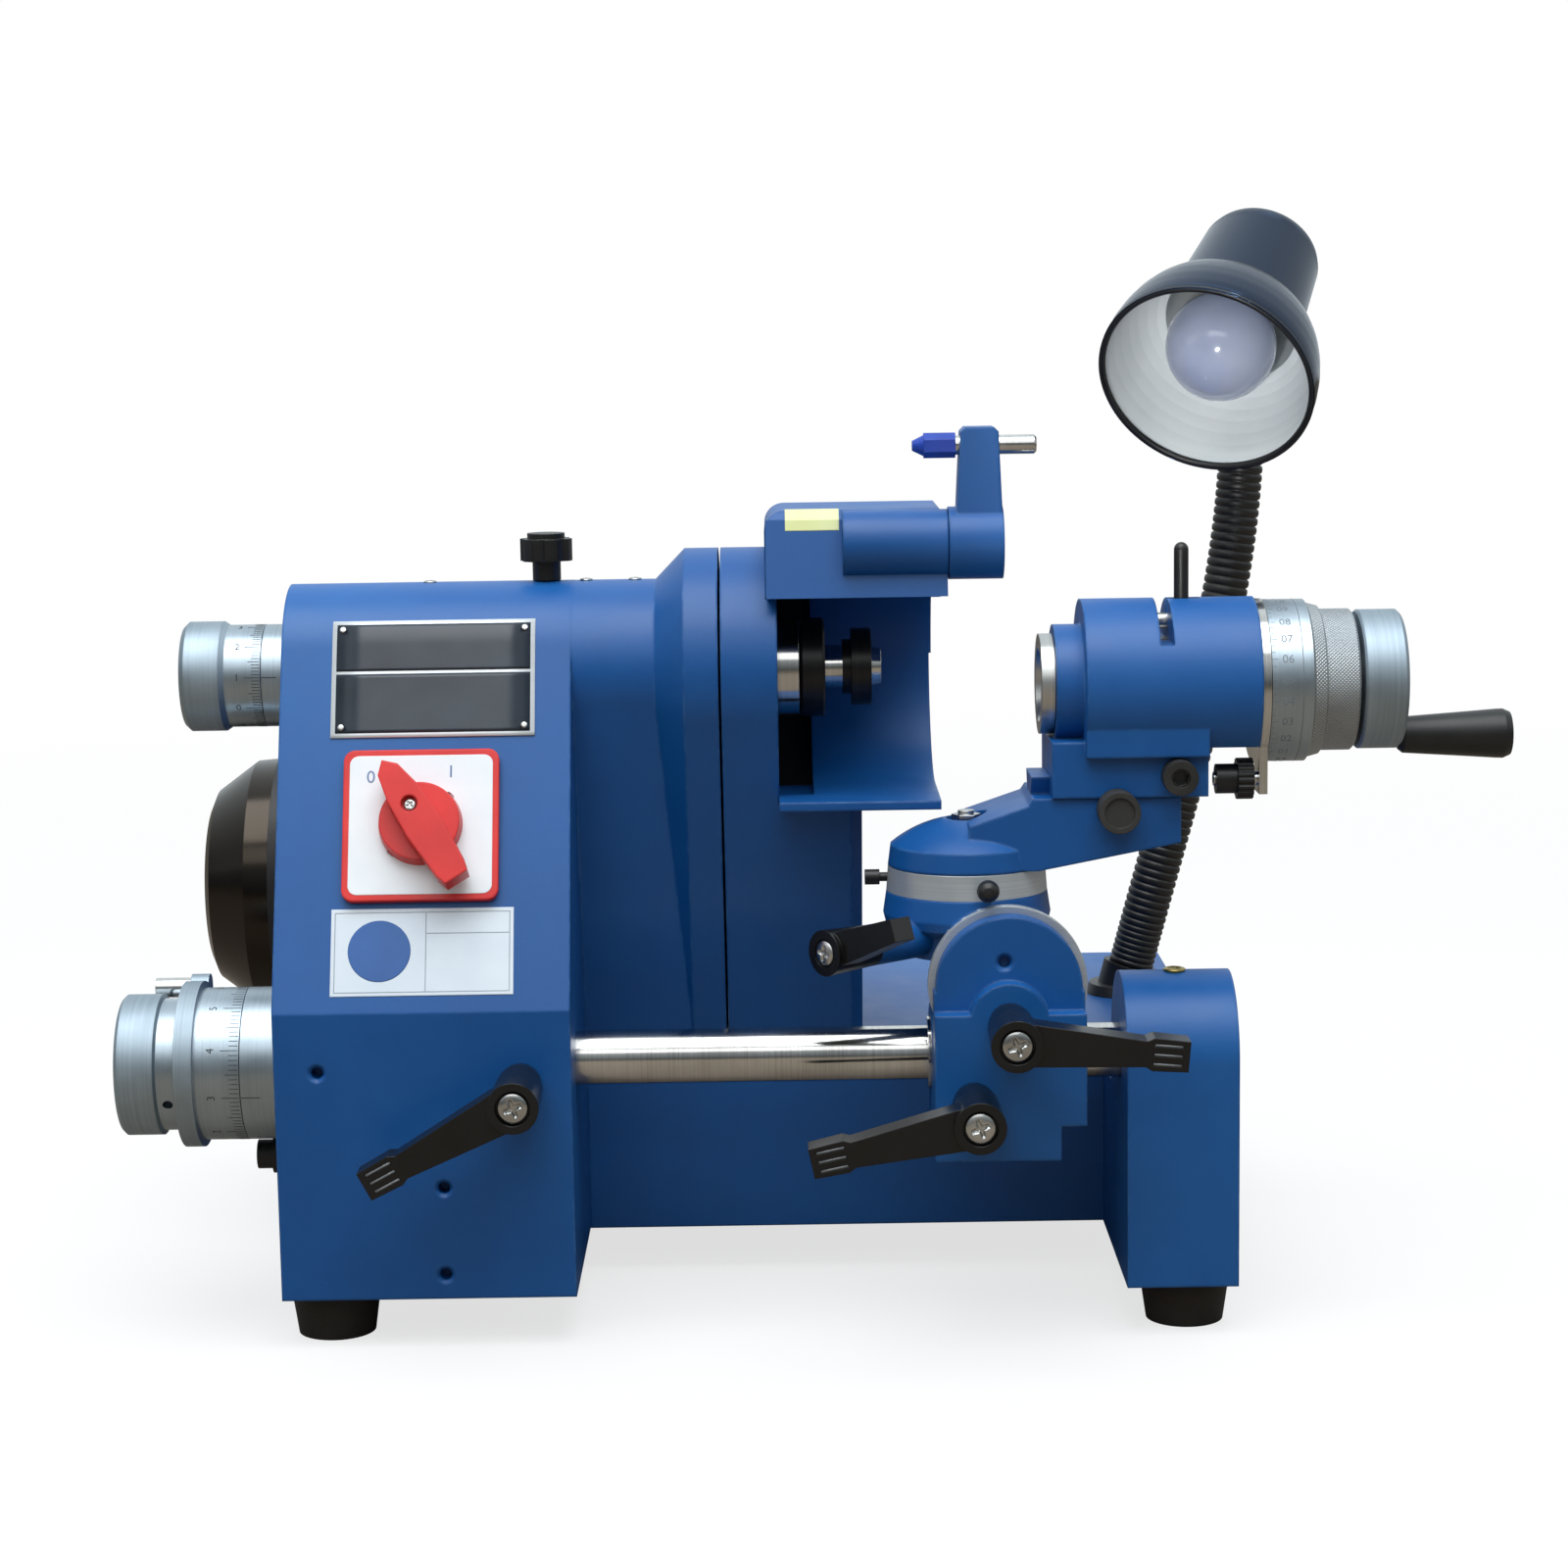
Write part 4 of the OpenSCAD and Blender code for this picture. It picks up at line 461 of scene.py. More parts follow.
class Build:
    """Collects closed solids into one mesh."""

    def __init__(self):
        self.verts, self.faces = [], []

    def add(self, verts, faces):
        base = len(self.verts)
        self.verts += [tuple(v) for v in verts]
        self.faces += [[base + i for i in face] for face in faces]

    def grid(self, place, us, vs, thick):
        """Closed sheet over the grid us x vs; place(u, v, lift) gives a point."""
        n, m = len(us), len(vs)
        under = [place(u, v, thick[0]) for v in vs for u in us]
        over = [place(u, v, thick[1]) for v in vs for u in us]
        faces = []
        for j in range(m - 1):
            for i in range(n - 1):
                a = j * n + i
                faces.append([a + n, a + n + 1, a + 1, a])
                b = a + n * m
                faces.append([b, b + 1, b + n + 1, b + n])
        rim = list(range(n)) + [j * n + n - 1 for j in range(1, m)]
        rim += [(m - 1) * n + i for i in range(n - 2, -1, -1)] + [j * n for j in range(m - 2, 0, -1)]
        for a, b in zip(rim, rim[1:] + rim[:1]):
            faces.append([a, b, b + n * m, a + n * m])
        self.add(under + over, faces)

    def lathe(self, profile, place, sides):
        """Closed solid of revolution; profile is (radius, height), with radius 0 at both ends."""
        middle, foot, top = profile[1:-1], 0, 1
        verts = [place(0.0, 0.0, profile[0][1]), place(0.0, 0.0, profile[-1][1])]
        for radius, height in middle:
            verts += [place(x, y, height) for x, y in circle(radius, sides)]
        last = 2 + (len(middle) - 1) * sides
        faces = ring_quads(len(middle), sides, first=2)
        for k in range(sides):
            j = (k + 1) % sides
            faces.append([foot, 2 + j, 2 + k])
            faces.append([last + k, last + j, top])
        self.add(verts, faces)

    def make(self, name, finish, body, smooth=False):
        return piece(name, self.verts, self.faces, finish, body, smooth)


def axes(at, out, hand):
    """Maps (x, y, height) to a point: height runs along out from at, x along hand."""
    z = Vector(out).normalized()
    x = (Vector(hand) - Vector(hand).dot(z) * z).normalized()
    y = z.cross(x)
    at = Vector(at)
    return lambda u, v, h: at + u * x + v * y + h * z


def on_panel(x, s, lift):
    """Point of the sloped panel, s up from its lower edge; it runs on round the neck."""
    if s <= PANEL_END:
        slope = Vector((0.0, math.cos(PANEL_A), math.sin(PANEL_A)))
        out = Vector((0.0, -math.sin(PANEL_A), math.cos(PANEL_A)))
        return Vector((x, FRONT_Y, PANEL_Z)) + s * slope + lift * out
    turn = PANEL_A - (s - PANEL_END) / NECK_R
    out = Vector((0.0, -math.sin(turn), math.cos(turn)))
    return Vector((x, SPINDLE_Y, SPINDLE_Z)) + (NECK_R + lift) * out


def panel_axes(x, s, lift, hand=RIGHT):
    """Axes that stand on the sloped panel at (x, s), lifted off it."""
    at = on_panel(x, s, lift)
    return axes(at, on_panel(x, s, lift + 1.0) - at, hand)


TEXT_SINK = 0.02


def print_text(build, words, size, place, u0, v0, depth, turn=0.0):
    """Adds text as thin solids, centred on (u0, v0) of place(u, v, lift)."""
    curve = bpy.data.curves.new("words", "FONT")
    curve.body = words
    curve.size = size
    curve.align_x, curve.align_y = "CENTER", "CENTER"
    curve.resolution_u = 3
    curve.extrude = 0.5
    holder = add_object("words", curve)
    shape = bpy.data.meshes.new_from_object(holder.evaluated_get(bpy.context.evaluated_depsgraph_get()))
    c, s = math.cos(math.radians(turn)), math.sin(math.radians(turn))
    points = []
    for vert in shape.vertices:
        x, y, z = vert.co
        points.append(place(u0 + c * x - s * y, v0 + s * x + c * y, depth * (z + 0.5) - TEXT_SINK))
    build.add(points, [list(face.vertices) for face in shape.polygons])
    bpy.data.objects.remove(holder)
    bpy.data.meshes.remove(shape)
    bpy.data.curves.remove(curve)


# Shares of a screw head's radius and height: the fall of its dome and the arms of its cross.
DOME_FALL, ARM_HALF, ARM_REACH, ARM_DEPTH = 0.32, 0.13, 0.60, 0.5


def screw_head(build, place, radius, height, sides=40, rings=14, cross=True):
    """Domed head with a cross recess, standing on height 0 of place(x, y, height)."""
    def top(x, y):
        share = math.hypot(x, y) / radius
        short, far = sorted((abs(x), abs(y)))
        in_arm = short < ARM_HALF * radius and far < ARM_REACH * radius
        sunk = ARM_DEPTH * height if cross and in_arm else 0.0
        return height * (1.0 - DOME_FALL * share ** 4) - sunk
    verts = [place(0.0, 0.0, top(0.0, 0.0))]
    for i in range(1, rings + 1):
        verts += [place(x, y, top(x, y)) for x, y in circle(radius * i / rings, sides)]
    foot = len(verts)
    verts += [place(x, y, 0.0) for x, y in circle(radius, sides)]
    faces = [[0, 1 + k, 1 + (k + 1) % sides] for k in range(sides)]
    faces += ring_quads(rings + 1, sides, first=1)
    faces.append([foot + k for k in range(sides - 1, -1, -1)])
    build.add(verts, faces)


# Gooseneck: a ribbed hose along the same route as its solid, straight at both ends.
GOOSE_A, GOOSE_B = Vector((157.12, 84.0, 122.52)), Vector((162.82, 84.0, 143.77))
GOOSE_C, GOOSE_D = Vector((212.0, 94.0, 386.0)), Vector((212.0, 94.0, 408.0))
GOOSE_PULL_B = GOOSE_B + 70.0 * (GOOSE_B - GOOSE_A).normalized()
GOOSE_PULL_C = GOOSE_C - 80.0 * Vector(UP)
GOOSE_START, GOOSE_END = 0.1, 0.9
GOOSE_R, GOOSE_DEEP, GOOSE_RIBS = 11.0, 1.2, 75
WAVE_STEPS, HOSE_SIDES = 8, 28
HOSE_STEPS = GOOSE_RIBS * WAVE_STEPS
HOSE_NEAR, WAVE_POWER = 0.002, 0.18


def goose(t):
    """Point of the hose's middle line at the share t of its route."""
    if t < GOOSE_START:
        return GOOSE_A.lerp(GOOSE_B, t / GOOSE_START)
    if t > GOOSE_END:
        return GOOSE_C.lerp(GOOSE_D, (t - GOOSE_END) / (1.0 - GOOSE_END))
    t = (t - GOOSE_START) / (GOOSE_END - GOOSE_START)
    u = 1.0 - t
    return (u ** 3 * GOOSE_B + 3 * u * u * t * GOOSE_PULL_B
            + 3 * u * t * t * GOOSE_PULL_C + t ** 3 * GOOSE_C)


def hose_ring(i):
    """Points round the hose at step i; every rib takes WAVE_STEPS of them."""
    t = i / HOSE_STEPS
    way = (goose(min(1.0, t + HOSE_NEAR)) - goose(max(0.0, t - HOSE_NEAR))).normalized()
    side = Vector((0.0, 1.0, 0.0)).cross(way).normalized()
    wave = 0.5 - 0.5 * math.cos(FULL_TURN * (i % WAVE_STEPS) / WAVE_STEPS)
    radius = GOOSE_R - GOOSE_DEEP * (1.0 - wave ** WAVE_POWER)
    return [goose(t) + radius * (c * side + s * way.cross(side)) for c, s in circle(1.0, HOSE_SIDES)]


hose_points = [point for i in range(HOSE_STEPS + 1) for point in hose_ring(i)]
hose_faces = ring_quads(HOSE_STEPS + 1, HOSE_SIDES)
hose_faces.append(list(range(HOSE_SIDES - 1, -1, -1)))
hose_faces.append([HOSE_STEPS * HOSE_SIDES + k for k in range(HOSE_SIDES)])
gooseneck = piece("gooseneck_hose", hose_points, hose_faces, "hose", None, smooth=True)
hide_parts("lamp_gooseneck")
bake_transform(gooseneck)

# Name plate without lettering: bright plate, dark field in two parts, riveted corners.
PLATE_X, PLATE_S, PLATE_SPLIT = (-212.7, -122.8), (123.8, 178.3), (153.0, 154.4)
PLATE_RIM, RIVET_IN, RIVET_SEAT = 2.0, 4.6, 0.8
PLATE_SHEET, FIELD_SHEET = (-0.15, 0.7), (0.5, 0.85)
plate = Build()
plate.grid(on_panel, spread(*PLATE_X, 8), spread(*PLATE_S, 34), PLATE_SHEET)
plate.make("name_plate", "plate_light", "base", smooth=True)
field = Build()
field_x = spread(PLATE_X[0] + PLATE_RIM, PLATE_X[1] - PLATE_RIM, 8)
for s0, s1 in (PLATE_S[0] + PLATE_RIM, PLATE_SPLIT[0]), (PLATE_SPLIT[1], PLATE_S[1] - PLATE_RIM):
    field.grid(on_panel, field_x, spread(s0, s1, 18), FIELD_SHEET)
field.make("name_plate_field", "plate_dark", "base", smooth=True)
rivets = Build()
for x in (PLATE_X[0] + RIVET_IN, PLATE_X[1] - RIVET_IN):
    for s in (PLATE_S[0] + RIVET_IN, PLATE_S[1] - RIVET_IN):
        on_plate = panel_axes(x, s, RIVET_SEAT)
        screw_head(rivets, on_plate, radius=1.5, height=0.9, sides=20, rings=5, cross=False)
rivets.make("name_plate_rivets", "screw", "base", smooth=True)

# Label under the switch, bare but for its frame lines and its disc.
LABEL_X, LABEL_S = (-210.5, -131.4), (7.7, 46.3)
LABEL_SPLIT_X, LABEL_SPLIT_S = (-169.6, -169.2), (35.0, 35.4)
LINE_OUTER, LINE_INNER = 1.5, 1.9
LABEL_SHEET, LINE_SHEET = (-0.1, 0.25), (0.2, 0.33)
EARTH_AT, EARTH_R = (-189.5, 27.5), 13.6
label = Build()
label.grid(on_panel, spread(*LABEL_X, 6), spread(*LABEL_S, 6), LABEL_SHEET)
label.make("earth_plate", "label", "base")
x_outer, x_inner = [(LABEL_X[0] + inset, LABEL_X[1] - inset) for inset in (LINE_OUTER, LINE_INNER)]
s_outer, s_inner = [(LABEL_S[0] + inset, LABEL_S[1] - inset) for inset in (LINE_OUTER, LINE_INNER)]
lines = Build()
for xs, ss in ((x_outer, (s_outer[0], s_inner[0])),
               (x_outer, (s_inner[1], s_outer[1])),
               ((x_outer[0], x_inner[0]), s_inner),
               ((x_inner[1], x_outer[1]), s_inner),
               (LABEL_SPLIT_X, s_inner),
               ((LABEL_SPLIT_X[1], x_inner[1]), LABEL_SPLIT_S)):
    lines.grid(on_panel, xs, ss, LINE_SHEET)
lines.make("earth_plate_frame", "label_grey", "base")
spot = Build()
spot.lathe([(0.0, 0.2), (EARTH_R, 0.2), (EARTH_R, 0.34), (EARTH_R - 0.2, 0.38), (0.0, 0.38)],
           panel_axes(*EARTH_AT, 0.0), 72)
spot.make("earth_plate_disc", "label_blue", "base")

# Printed skin of the switch plate, which laps over the inner edge of the red frame.
SWITCH_X, SWITCH_S = -172.0, 83.0
SKIN_FOOT, SKIN_TOP = 3.1, 4.12
SKIN_HALF, SKIN_CORNER, SKIN_HOLE = 31.3, 4.0, 19.0


def on_switch(x, s, lift):
    return on_panel(SWITCH_X + x, SWITCH_S + s, lift)


outline = []
for quarter, corner in enumerate(((1, 1), (-1, 1), (-1, -1), (1, -1))):
    cx, cy = [way * (SKIN_HALF - SKIN_CORNER) for way in corner]
    for degrees in spread(90.0 * quarter, 90.0 * quarter + 90.0, 9):
        turn = math.radians(degrees)
        outline.append((cx + SKIN_CORNER * math.cos(turn), cy + SKIN_CORNER * math.sin(turn)))
opening = [(SKIN_HOLE * x / math.hypot(x, y), SKIN_HOLE * y / math.hypot(x, y)) for x, y in outline]
skin_rings = (outline, SKIN_FOOT), (outline, SKIN_TOP), (opening, SKIN_TOP), (opening, SKIN_FOOT)
skin = Build()
skin.add([on_switch(x, y, lift) for path, lift in skin_rings for x, y in path],
         ring_quads(len(skin_rings), len(outline), closed=True))
skin.make("switch_skin", "white", "base")

# Screw in the bore of the switch knob, and the two figures beside the knob.
KNOB_BORE = SWITCH_X - 3.18, SWITCH_S + 5.09, 17.9
head = Build()
in_bore = panel_axes(*KNOB_BORE, hand=(1.0, 0.0, 0.8))
screw_head(head, in_bore, radius=2.7, height=1.1, sides=28, rings=10)
head.make("switch_screw", "screw", "switch", smooth=True)
figures = Build()
for words, x, s in (("0", -22.0, 21.5), ("1", 13.0, 23.5)):
    print_text(figures, words, 8.0, lambda u, v, h: on_switch(u, v, SKIN_TOP + h), x, s, 0.12)
figures.make("switch_figures", "ink_blue", "base")


# Clamp levers: a screw in the hub, and grip ribs in the grooves at the arm's end, coloured light grey as a
# painted highlight on their tops.
def lever_screw(body, seat, hand, radius, height):
    """Screw of a lever, seat above its joint; one arm of its cross points to hand."""
    out = Vector(joints[body + "_turn"]["axis"])
    head = Build()
    screw_head(head, axes(Vector(joint_at(body + "_turn")) + seat * out, out, hand), radius, height)
    head.make(body + "_screw", "screw", body, smooth=True)


RIB_X, RIB_HALF, RIB_PITCH = (57.2, 68.8), 0.75, 4.0
RIB_FOOT, RIB_TOP, RIB_FALL = 40.9, 42.3, 0.8


def lever_ribs(body, degrees):
    """Three ribs along the end of the arm, which points degrees up from +X."""
    turn = math.radians(degrees)
    on_lever = axes(joint_at(body + "_turn"), FRONT, (math.cos(turn), 0.0, math.sin(turn)))
    ribs = Build()
    for middle in (-RIB_PITCH, 0.0, RIB_PITCH):
        def on_rib(u, v, top, middle=middle):
            crown = RIB_TOP - RIB_FALL * (v / RIB_HALF) ** 2
            return on_lever(u, middle + v, crown if top else RIB_FOOT)
        ribs.grid(on_rib, spread(*RIB_X, 4), spread(-RIB_HALF, RIB_HALF, 7), (0.0, 1.0))
    ribs.make(body + "_ribs", "lever_rib", body, smooth=True)


for lever, degrees in (("rod_lock", 208.0), ("saddle_lock", 192.0), ("tilt_lock", -5.0)):
    lever_screw(lever, seat=42.5, hand=(1.0, 0.35, 0.4), radius=6.6, height=3.4)
    lever_ribs(lever, degrees)
lever_screw("swivel_lock", seat=24.0, hand=(0.3, 0.0, 1.0), radius=5.4, height=3.0)

# Marks of the dials: lines and figures filled with dark paint.
PAINT_LIFT, TEXT_DEPTH = 0.05, 0.07
TICK_WIDTH, POINTER_WIDTH = 0.30, 0.4
TICK_STEP, FIGURE_STEP = 3.6, 36.0
TENTHS = [-7.0, -3.6, -3.6, -3.6, -3.6, -5.2, -3.6, -3.6, -3.6, -3.6]


class Drum:
    """Marks on a drum round an axis along X; places are x and degrees up from the front."""

    def __init__(self, cy, cz, radius):
        self.cy, self.cz, self.radius = cy, cz, radius

    def place(self, x, degrees, radius):
        a = math.radians(degrees)
        return Vector((x, self.cy - radius * math.cos(a), self.cz + radius * math.sin(a)))

    def text(self, build, words, size, x, degrees, turn=0.0):
        """Figures centred at x and degrees."""
        def wrap(u, v, h):
            return self.place(x + u, degrees + math.degrees(v / self.radius), self.radius + h)
        print_text(build, words, size, wrap, 0.0, 0.0, TEXT_DEPTH, turn)

    def line(self, build, x0, x1, degrees, width):
        """One line along X."""
        half = math.degrees(width / 2.0 / self.radius)
        lifts = self.radius - PAINT_LIFT, self.radius + PAINT_LIFT
        build.grid(self.place, [x0, x1], [degrees - half, degrees + half], lifts)

    def ticks(self, build, x0, lengths, step, start, width):
        """Lines along X from x0, one every step degrees; lengths is repeated round the drum."""
        for k in range(round(360.0 / step)):
            self.line(build, x0, x0 + lengths[k % len(lengths)], start + k * step, width)

    def band(self, build, x, width, sides=96):
        """Closed thin band round the drum."""
        low, high = self.radius - PAINT_LIFT, self.radius + PAINT_LIFT
        section = (x, low), (x + width, low), (x + width, high), (x, high)
        verts = [self.place(at, 360.0 * k / sides, radius) for k in range(sides) for at, radius in section]
        build.add(verts, ring_quads(sides, len(section), closed=True))


def feed_marks(name, body, drum, zero, tick_x, stretch, figure_x, size, first, turn=0.0):
    """A hundred lines and ten figures round a feed dial; figure first stands at zero degrees."""
    marks = Build()
    drum.ticks(marks, tick_x, [stretch * long for long in TENTHS], TICK_STEP, zero, TICK_WIDTH)
    for k in range(10):
        drum.text(marks, str(k), size, figure_x, FIGURE_STEP * (k - first) + zero, turn)
    marks.make(name, "ink", body)


SPINDLE_DRUM, SPINDLE_ZERO = Drum(SPINDLE_Y, SPINDLE_Z, 23.25), 3.6
ROD_DRUM, ROD_ZERO = Drum(ROD_Y, ROD_Z, 33.5), -14.0
INDEX_DRUM, INDEX_ZERO = Drum(WORK_Y, WORK_Z, 35.5), 6.0
feed_marks("spindle_dial_marks", "feed_knob", SPINDLE_DRUM, SPINDLE_ZERO,
           tick_x=-248.2, stretch=1.0, figure_x=-258.4, size=4.6, first=1)
feed_marks("rod_dial_marks", "rod_dial", ROD_DRUM, ROD_ZERO,
           tick_x=-251.2, stretch=1.1, figure_x=-263.2, size=4.8, first=3, turn=90.0)
pointers = Build()
SPINDLE_DRUM.line(pointers, -247.4, -240.5, SPINDLE_ZERO, POINTER_WIDTH)
ROD_DRUM.line(pointers, -250.2, -242.0, ROD_ZERO, POINTER_WIDTH)
pointers.make("sleeve_marks", "ink", "base")
figures = Build()
for k in range(24):
    INDEX_DRUM.text(figures, "%02d" % (k + 1), 5.2, 203.4, 15.0 * (k - 4) + INDEX_ZERO)
figures.make("index_dial_figures", "ink_faded", "work")
lines = Build()
INDEX_DRUM.ticks(lines, 196.7, [2.4, 1.4, 1.4], 5.0, INDEX_ZERO, 0.25)
INDEX_DRUM.band(lines, 209.6, TICK_WIDTH)
lines.make("index_dial_lines", "ink_faded", "work")

# Front of the hood: a painted face that leans out to its lower edge and closes the slot's upper end.
HOOD_TOP, HOOD_Y = SPINDLE_Z + 73.6, SPINDLE_Y - 43.0
HOOD_LOW, HOOD_FOLD, HOOD_LEAN = 35.9, 69.6, 0.30
HOOD_SUNK, HOOD_THICK = 1.2, 1.26
# Left of the dresser's boss it has the full height; under the boss only the strip that shows.
HOOD_SHEETS = ((-19.9, 13.9), HOOD_FOLD), ((13.8, 59.9), 47.0)


def on_hood(x, z, out):
    """z is the height over the spindle; out is 0 inside the solid, 1 on the painted side."""
    thick = HOOD_THICK + HOOD_LEAN * (HOOD_FOLD - z)
    return Vector((x, HOOD_Y + HOOD_SUNK - out * thick, SPINDLE_Z + z))


hood = Build()
for xs, top in HOOD_SHEETS:
    hood.grid(on_hood, spread(*xs, 8), spread(HOOD_LOW, top, 6), (0.0, 1.0))
hood.make("hood_face", "blue_flat", "base")

# Sticker over the front edge of the hood, without print. Each row: its y and z, and the way it faces.
STICKER_X, STICKER_SHEET = (-11.2, 12.6), (-0.05, 0.16)
STICKER_ROWS = (
    (HOOD_Y + 11.0, HOOD_TOP, 0.0, 1.0),
    (HOOD_Y + 4.0, HOOD_TOP, -0.35, 0.94),
    (HOOD_Y, HOOD_TOP - 4.0, -0.94, 0.35),
    (HOOD_Y - 4.6 * HOOD_LEAN, HOOD_TOP - 8.6, -1.0, 0.0),
)


def on_sticker(x, row, lift):
    y, z, out_y, out_z = STICKER_ROWS[row]
    return Vector((x, y + lift * out_y, z + lift * out_z))


sticker = Build()
sticker.grid(on_sticker, spread(*STICKER_X, 6), range(len(STICKER_ROWS)), STICKER_SHEET)
sticker.make("hood_sticker", "sticker", "base")

# Screws on top of the pedestal and along the top of the headstock.
PEDESTAL_SCREW = 157.25, ROD_Y, 154.7
HEAD_SCREW_X, HEAD_SCREW_Z = (-172.5, -101.7, -79.5), SPINDLE_Z + NECK_R - 0.5
head = Build()
on_pedestal = axes(PEDESTAL_SCREW, UP, (1.0, 0.6, 0.0))
screw_head(head, on_pedestal, radius=4.8, height=2.0, sides=36, rings=12)
head.make("pedestal_screw", "brass", "base", smooth=True)
head = Build()
for x in HEAD_SCREW_X:
    on_neck = axes((x, SPINDLE_Y, HEAD_SCREW_Z), UP, (1.0, 0.3, 0.0))
    screw_head(head, on_neck, radius=2.9, height=1.3, sides=28, rings=10)
head.make("headstock_screws", "screw", "base", smooth=True)

# Hexagonal socket in the head of the slide stop screw: a ring with a hole and a floor.
SOCKET_R, SOCKET_ACROSS, SOCKET_SIDES = 4.0, 6.0, 48
SOCKET_FOOT, SOCKET_FLOOR, SOCKET_TOP = 4.8, 5.2, 8.8
on_stop = axes(joint_at("slide_stop_turn"), FRONT, (1.0, 0.2, 0.3))
outer, inner = circle(SOCKET_R, SOCKET_SIDES), []
for k, (c, s) in enumerate(circle(1.0, SOCKET_SIDES)):
    off_flat = math.radians(360.0 * k / SOCKET_SIDES % 60.0 - 30.0)
    reach = SOCKET_ACROSS / 2.0 / math.cos(off_flat)
    inner.append((reach * c, reach * s))
socket_rings = (outer, SOCKET_FOOT), (outer, SOCKET_TOP), (inner, SOCKET_TOP), (inner, SOCKET_FLOOR)
socket_faces = ring_quads(len(socket_rings), SOCKET_SIDES)
socket_faces.append([3 * SOCKET_SIDES + k for k in range(SOCKET_SIDES)])
socket_faces.append(list(range(SOCKET_SIDES - 1, -1, -1)))
socket = Build()
socket.add([on_stop(x, y, h) for path, h in socket_rings for x, y in path], socket_faces)
socket.make("slide_stop_socket", "socket", "slide_stop")

# Rim bead of the lamp shade.
BEAD_AT, BEAD_IN, BEAD_R, BEAD_SIDES, RIM_SIDES = 50.0, 1.2, 1.6, 10, 96
on_shade = axes(SHADE_C, SHADE_AXIS, SHADE_AXIS.cross(Vector(UP)))
bead = [(BEAD_AT + out, BEAD_IN + along) for out, along in circle(BEAD_R, BEAD_SIDES)]
rim = Build()
rim.add([on_shade(out * c, out * s, along) for c, s in circle(1.0, RIM_SIDES) for out, along in bead],
        ring_quads(RIM_SIDES, BEAD_SIDES, closed=True))
rim.make("shade_rim", "black", "lamp", smooth=True)

# Rounded end of the index bolt's pin.
PIN_AT, PIN_R = (161.4, WORK_Y, 339.7), 3.2
dome = [(PIN_R * math.cos(a), PIN_R * math.sin(a)) for a in spread(0.0, 1.5, 7)]
pin = Build()
pin.lathe([(0.0, -1.0), *dome, (0.0, PIN_R)], axes(PIN_AT, UP, RIGHT), 32)
pin.make("index_pin_end", "black", "bolt", smooth=True)

# Camera at the photograph's angle.
LENS_MM, FILM_MM = 75.04, 36.0
CAMERA_AT = Vector((-14.3, -1504.8, 444.6)) * MM
PITCH, YAW, ROLL = math.radians(8.211), math.radians(-0.038), math.radians(-0.883)
ahead = Vector((-math.sin(YAW) * math.cos(PITCH), math.cos(YAW) * math.cos(PITCH), -math.sin(PITCH)))
level = Vector((math.cos(YAW), math.sin(YAW), 0.0))
upward = level.cross(ahead)
right = math.cos(ROLL) * level + math.sin(ROLL) * upward
up = -math.sin(ROLL) * level + math.cos(ROLL) * upward
lens = bpy.data.cameras.new("camera")
lens.lens = LENS_MM
lens.sensor_fit = "HORIZONTAL"
lens.sensor_width = FILM_MM
lens.clip_end = 100.0
camera = add_object("camera", lens)
camera.matrix_world = Matrix((
    (right.x, up.x, -ahead.x, CAMERA_AT.x),
    (right.y, up.y, -ahead.y, CAMERA_AT.y),
    (right.z, up.z, -ahead.z, CAMERA_AT.z),
    (0.0, 0.0, 0.0, 1.0)))
bpy.context.scene.camera = camera

# Floor: a wide pale disc that fades into the backdrop's white.
FLOOR_R, FLOOR_SIDES = 14.0, 96
FADE_START, FADE_END = 0.35, 2.2
disc = bpy.data.meshes.new("floor")
disc.from_pydata([(x, y, 0.0) for x, y in circle(FLOOR_R, FLOOR_SIDES)], [], [list(range(FLOOR_SIDES))])
floor = add_object("floor", disc)
ground = Graph("floor_white")
ground.set(Base_Color=(0.80, 0.80, 0.80, 1.0), Roughness=0.9, Specular_IOR_Level=0.0)
distance = ground.add("ShaderNodeVectorMath", {0: ground.place}, out=1, operation="LENGTH")
fade = ground.between(distance, FADE_START, FADE_END, 0.72, 1.0)
glow = ground.add("ShaderNodeEmission", {"Color": (1.0, 1.0, 1.0, 1.0), "Strength": 1.0})
pale = ground.add("ShaderNodeMixShader", {0: fade, 1: ground.shader.outputs[0], 2: glow})
bounce = ground.add("ShaderNodeBsdfDiffuse", {"Color": (0.24, 0.20, 0.16, 1.0)})
ground.show(ground.add("ShaderNodeMixShader", {0: ground.seen_directly(), 1: bounce, 2: pale}))
disc.materials.append(ground.material)

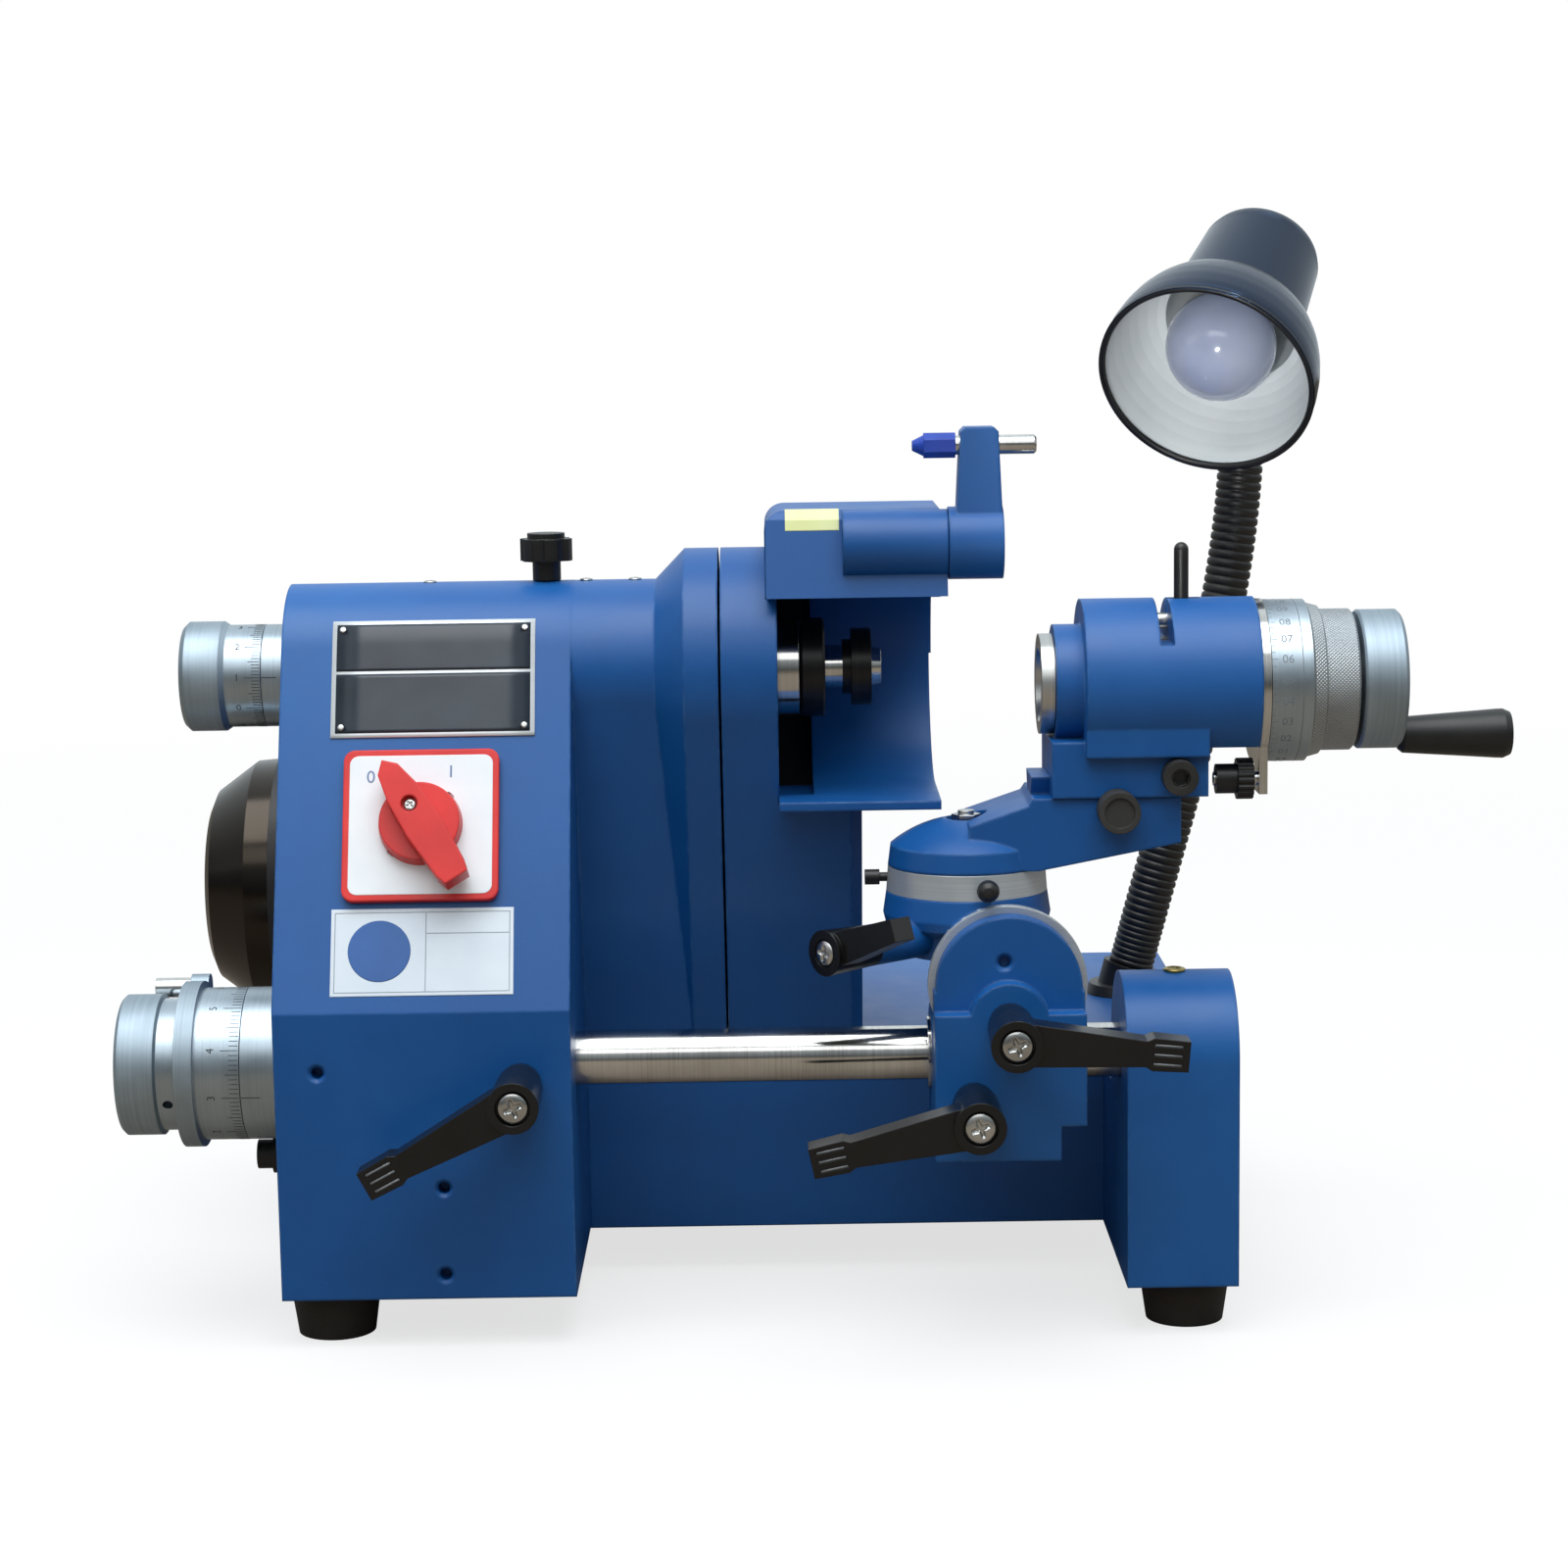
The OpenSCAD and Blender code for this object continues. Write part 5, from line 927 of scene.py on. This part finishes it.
# World: white where it is seen; on the object a soft sky that is brighter above and behind.
world = bpy.data.worlds.new("studio")
bpy.context.scene.world = world
world.use_nodes = True
sky = Tree(world.node_tree, "ShaderNodeOutputWorld")
_, behind, above = sky.split(sky.add("ShaderNodeTexCoord", out="Generated"))
strength = sky.math("ADD", sky.between(above, 0.0, 0.9, 0.10, 0.80), sky.between(behind, 0.0, 0.9, 0.0, 0.60))
soft = sky.add("ShaderNodeBackground", {"Color": (0.86, 0.95, 1.0, 1.0), "Strength": strength})
white = sky.add("ShaderNodeBackground", {"Color": (1.0, 1.0, 1.0, 1.0), "Strength": 1.0})
sky.show(sky.add("ShaderNodeMixShader", {0: sky.seen_directly(), 1: soft, 2: white}))


# Lights, in metres and watts.
def light(name, kind, at, aim, watts):
    """New light at a place, turned to the point aim; gives its data."""
    data = bpy.data.lights.new(name, kind)
    data.energy = watts
    obj = add_object(name, data)
    obj.location = at
    obj.rotation_euler = (Vector(aim) - Vector(at)).to_track_quat("-Z", "Y").to_euler()
    return data


def softbox(name, at, aim, width, height, watts, colour=(1.0, 1.0, 1.0)):
    data = light(name, "AREA", at, aim, watts)
    data.shape = "RECTANGLE"
    data.size, data.size_y = width, height
    data.color = colour


softbox("top_light", (-0.1, -0.75, 2.25), (0.0, 0.0, 0.2), width=2.2, height=1.8, watts=54.0,
        colour=(0.95, 0.98, 1.0))
softbox("front_light", (-0.4, -1.9, 1.5), (0.0, 0.0, 0.3), width=1.6, height=0.6, watts=4.5)
softbox("left_light", (-2.2, -0.6, 1.2), (0.0, 0.0, 0.2), width=1.0, height=1.4, watts=3.0)
softbox("right_light", (2.2, -0.3, 1.2), (0.0, 0.0, 0.2), width=1.0, height=1.4, watts=3.0)
# Low soft light into the open shade.
low_light = light("shade_light", "SPOT", (-0.15, -1.25, 0.28), SHADE_C * MM, 50.0)
low_light.spot_size, low_light.spot_blend = math.radians(9.5), 1.0
low_light.shadow_soft_size = 0.06

bpy.context.scene.view_settings.view_transform = "Standard"
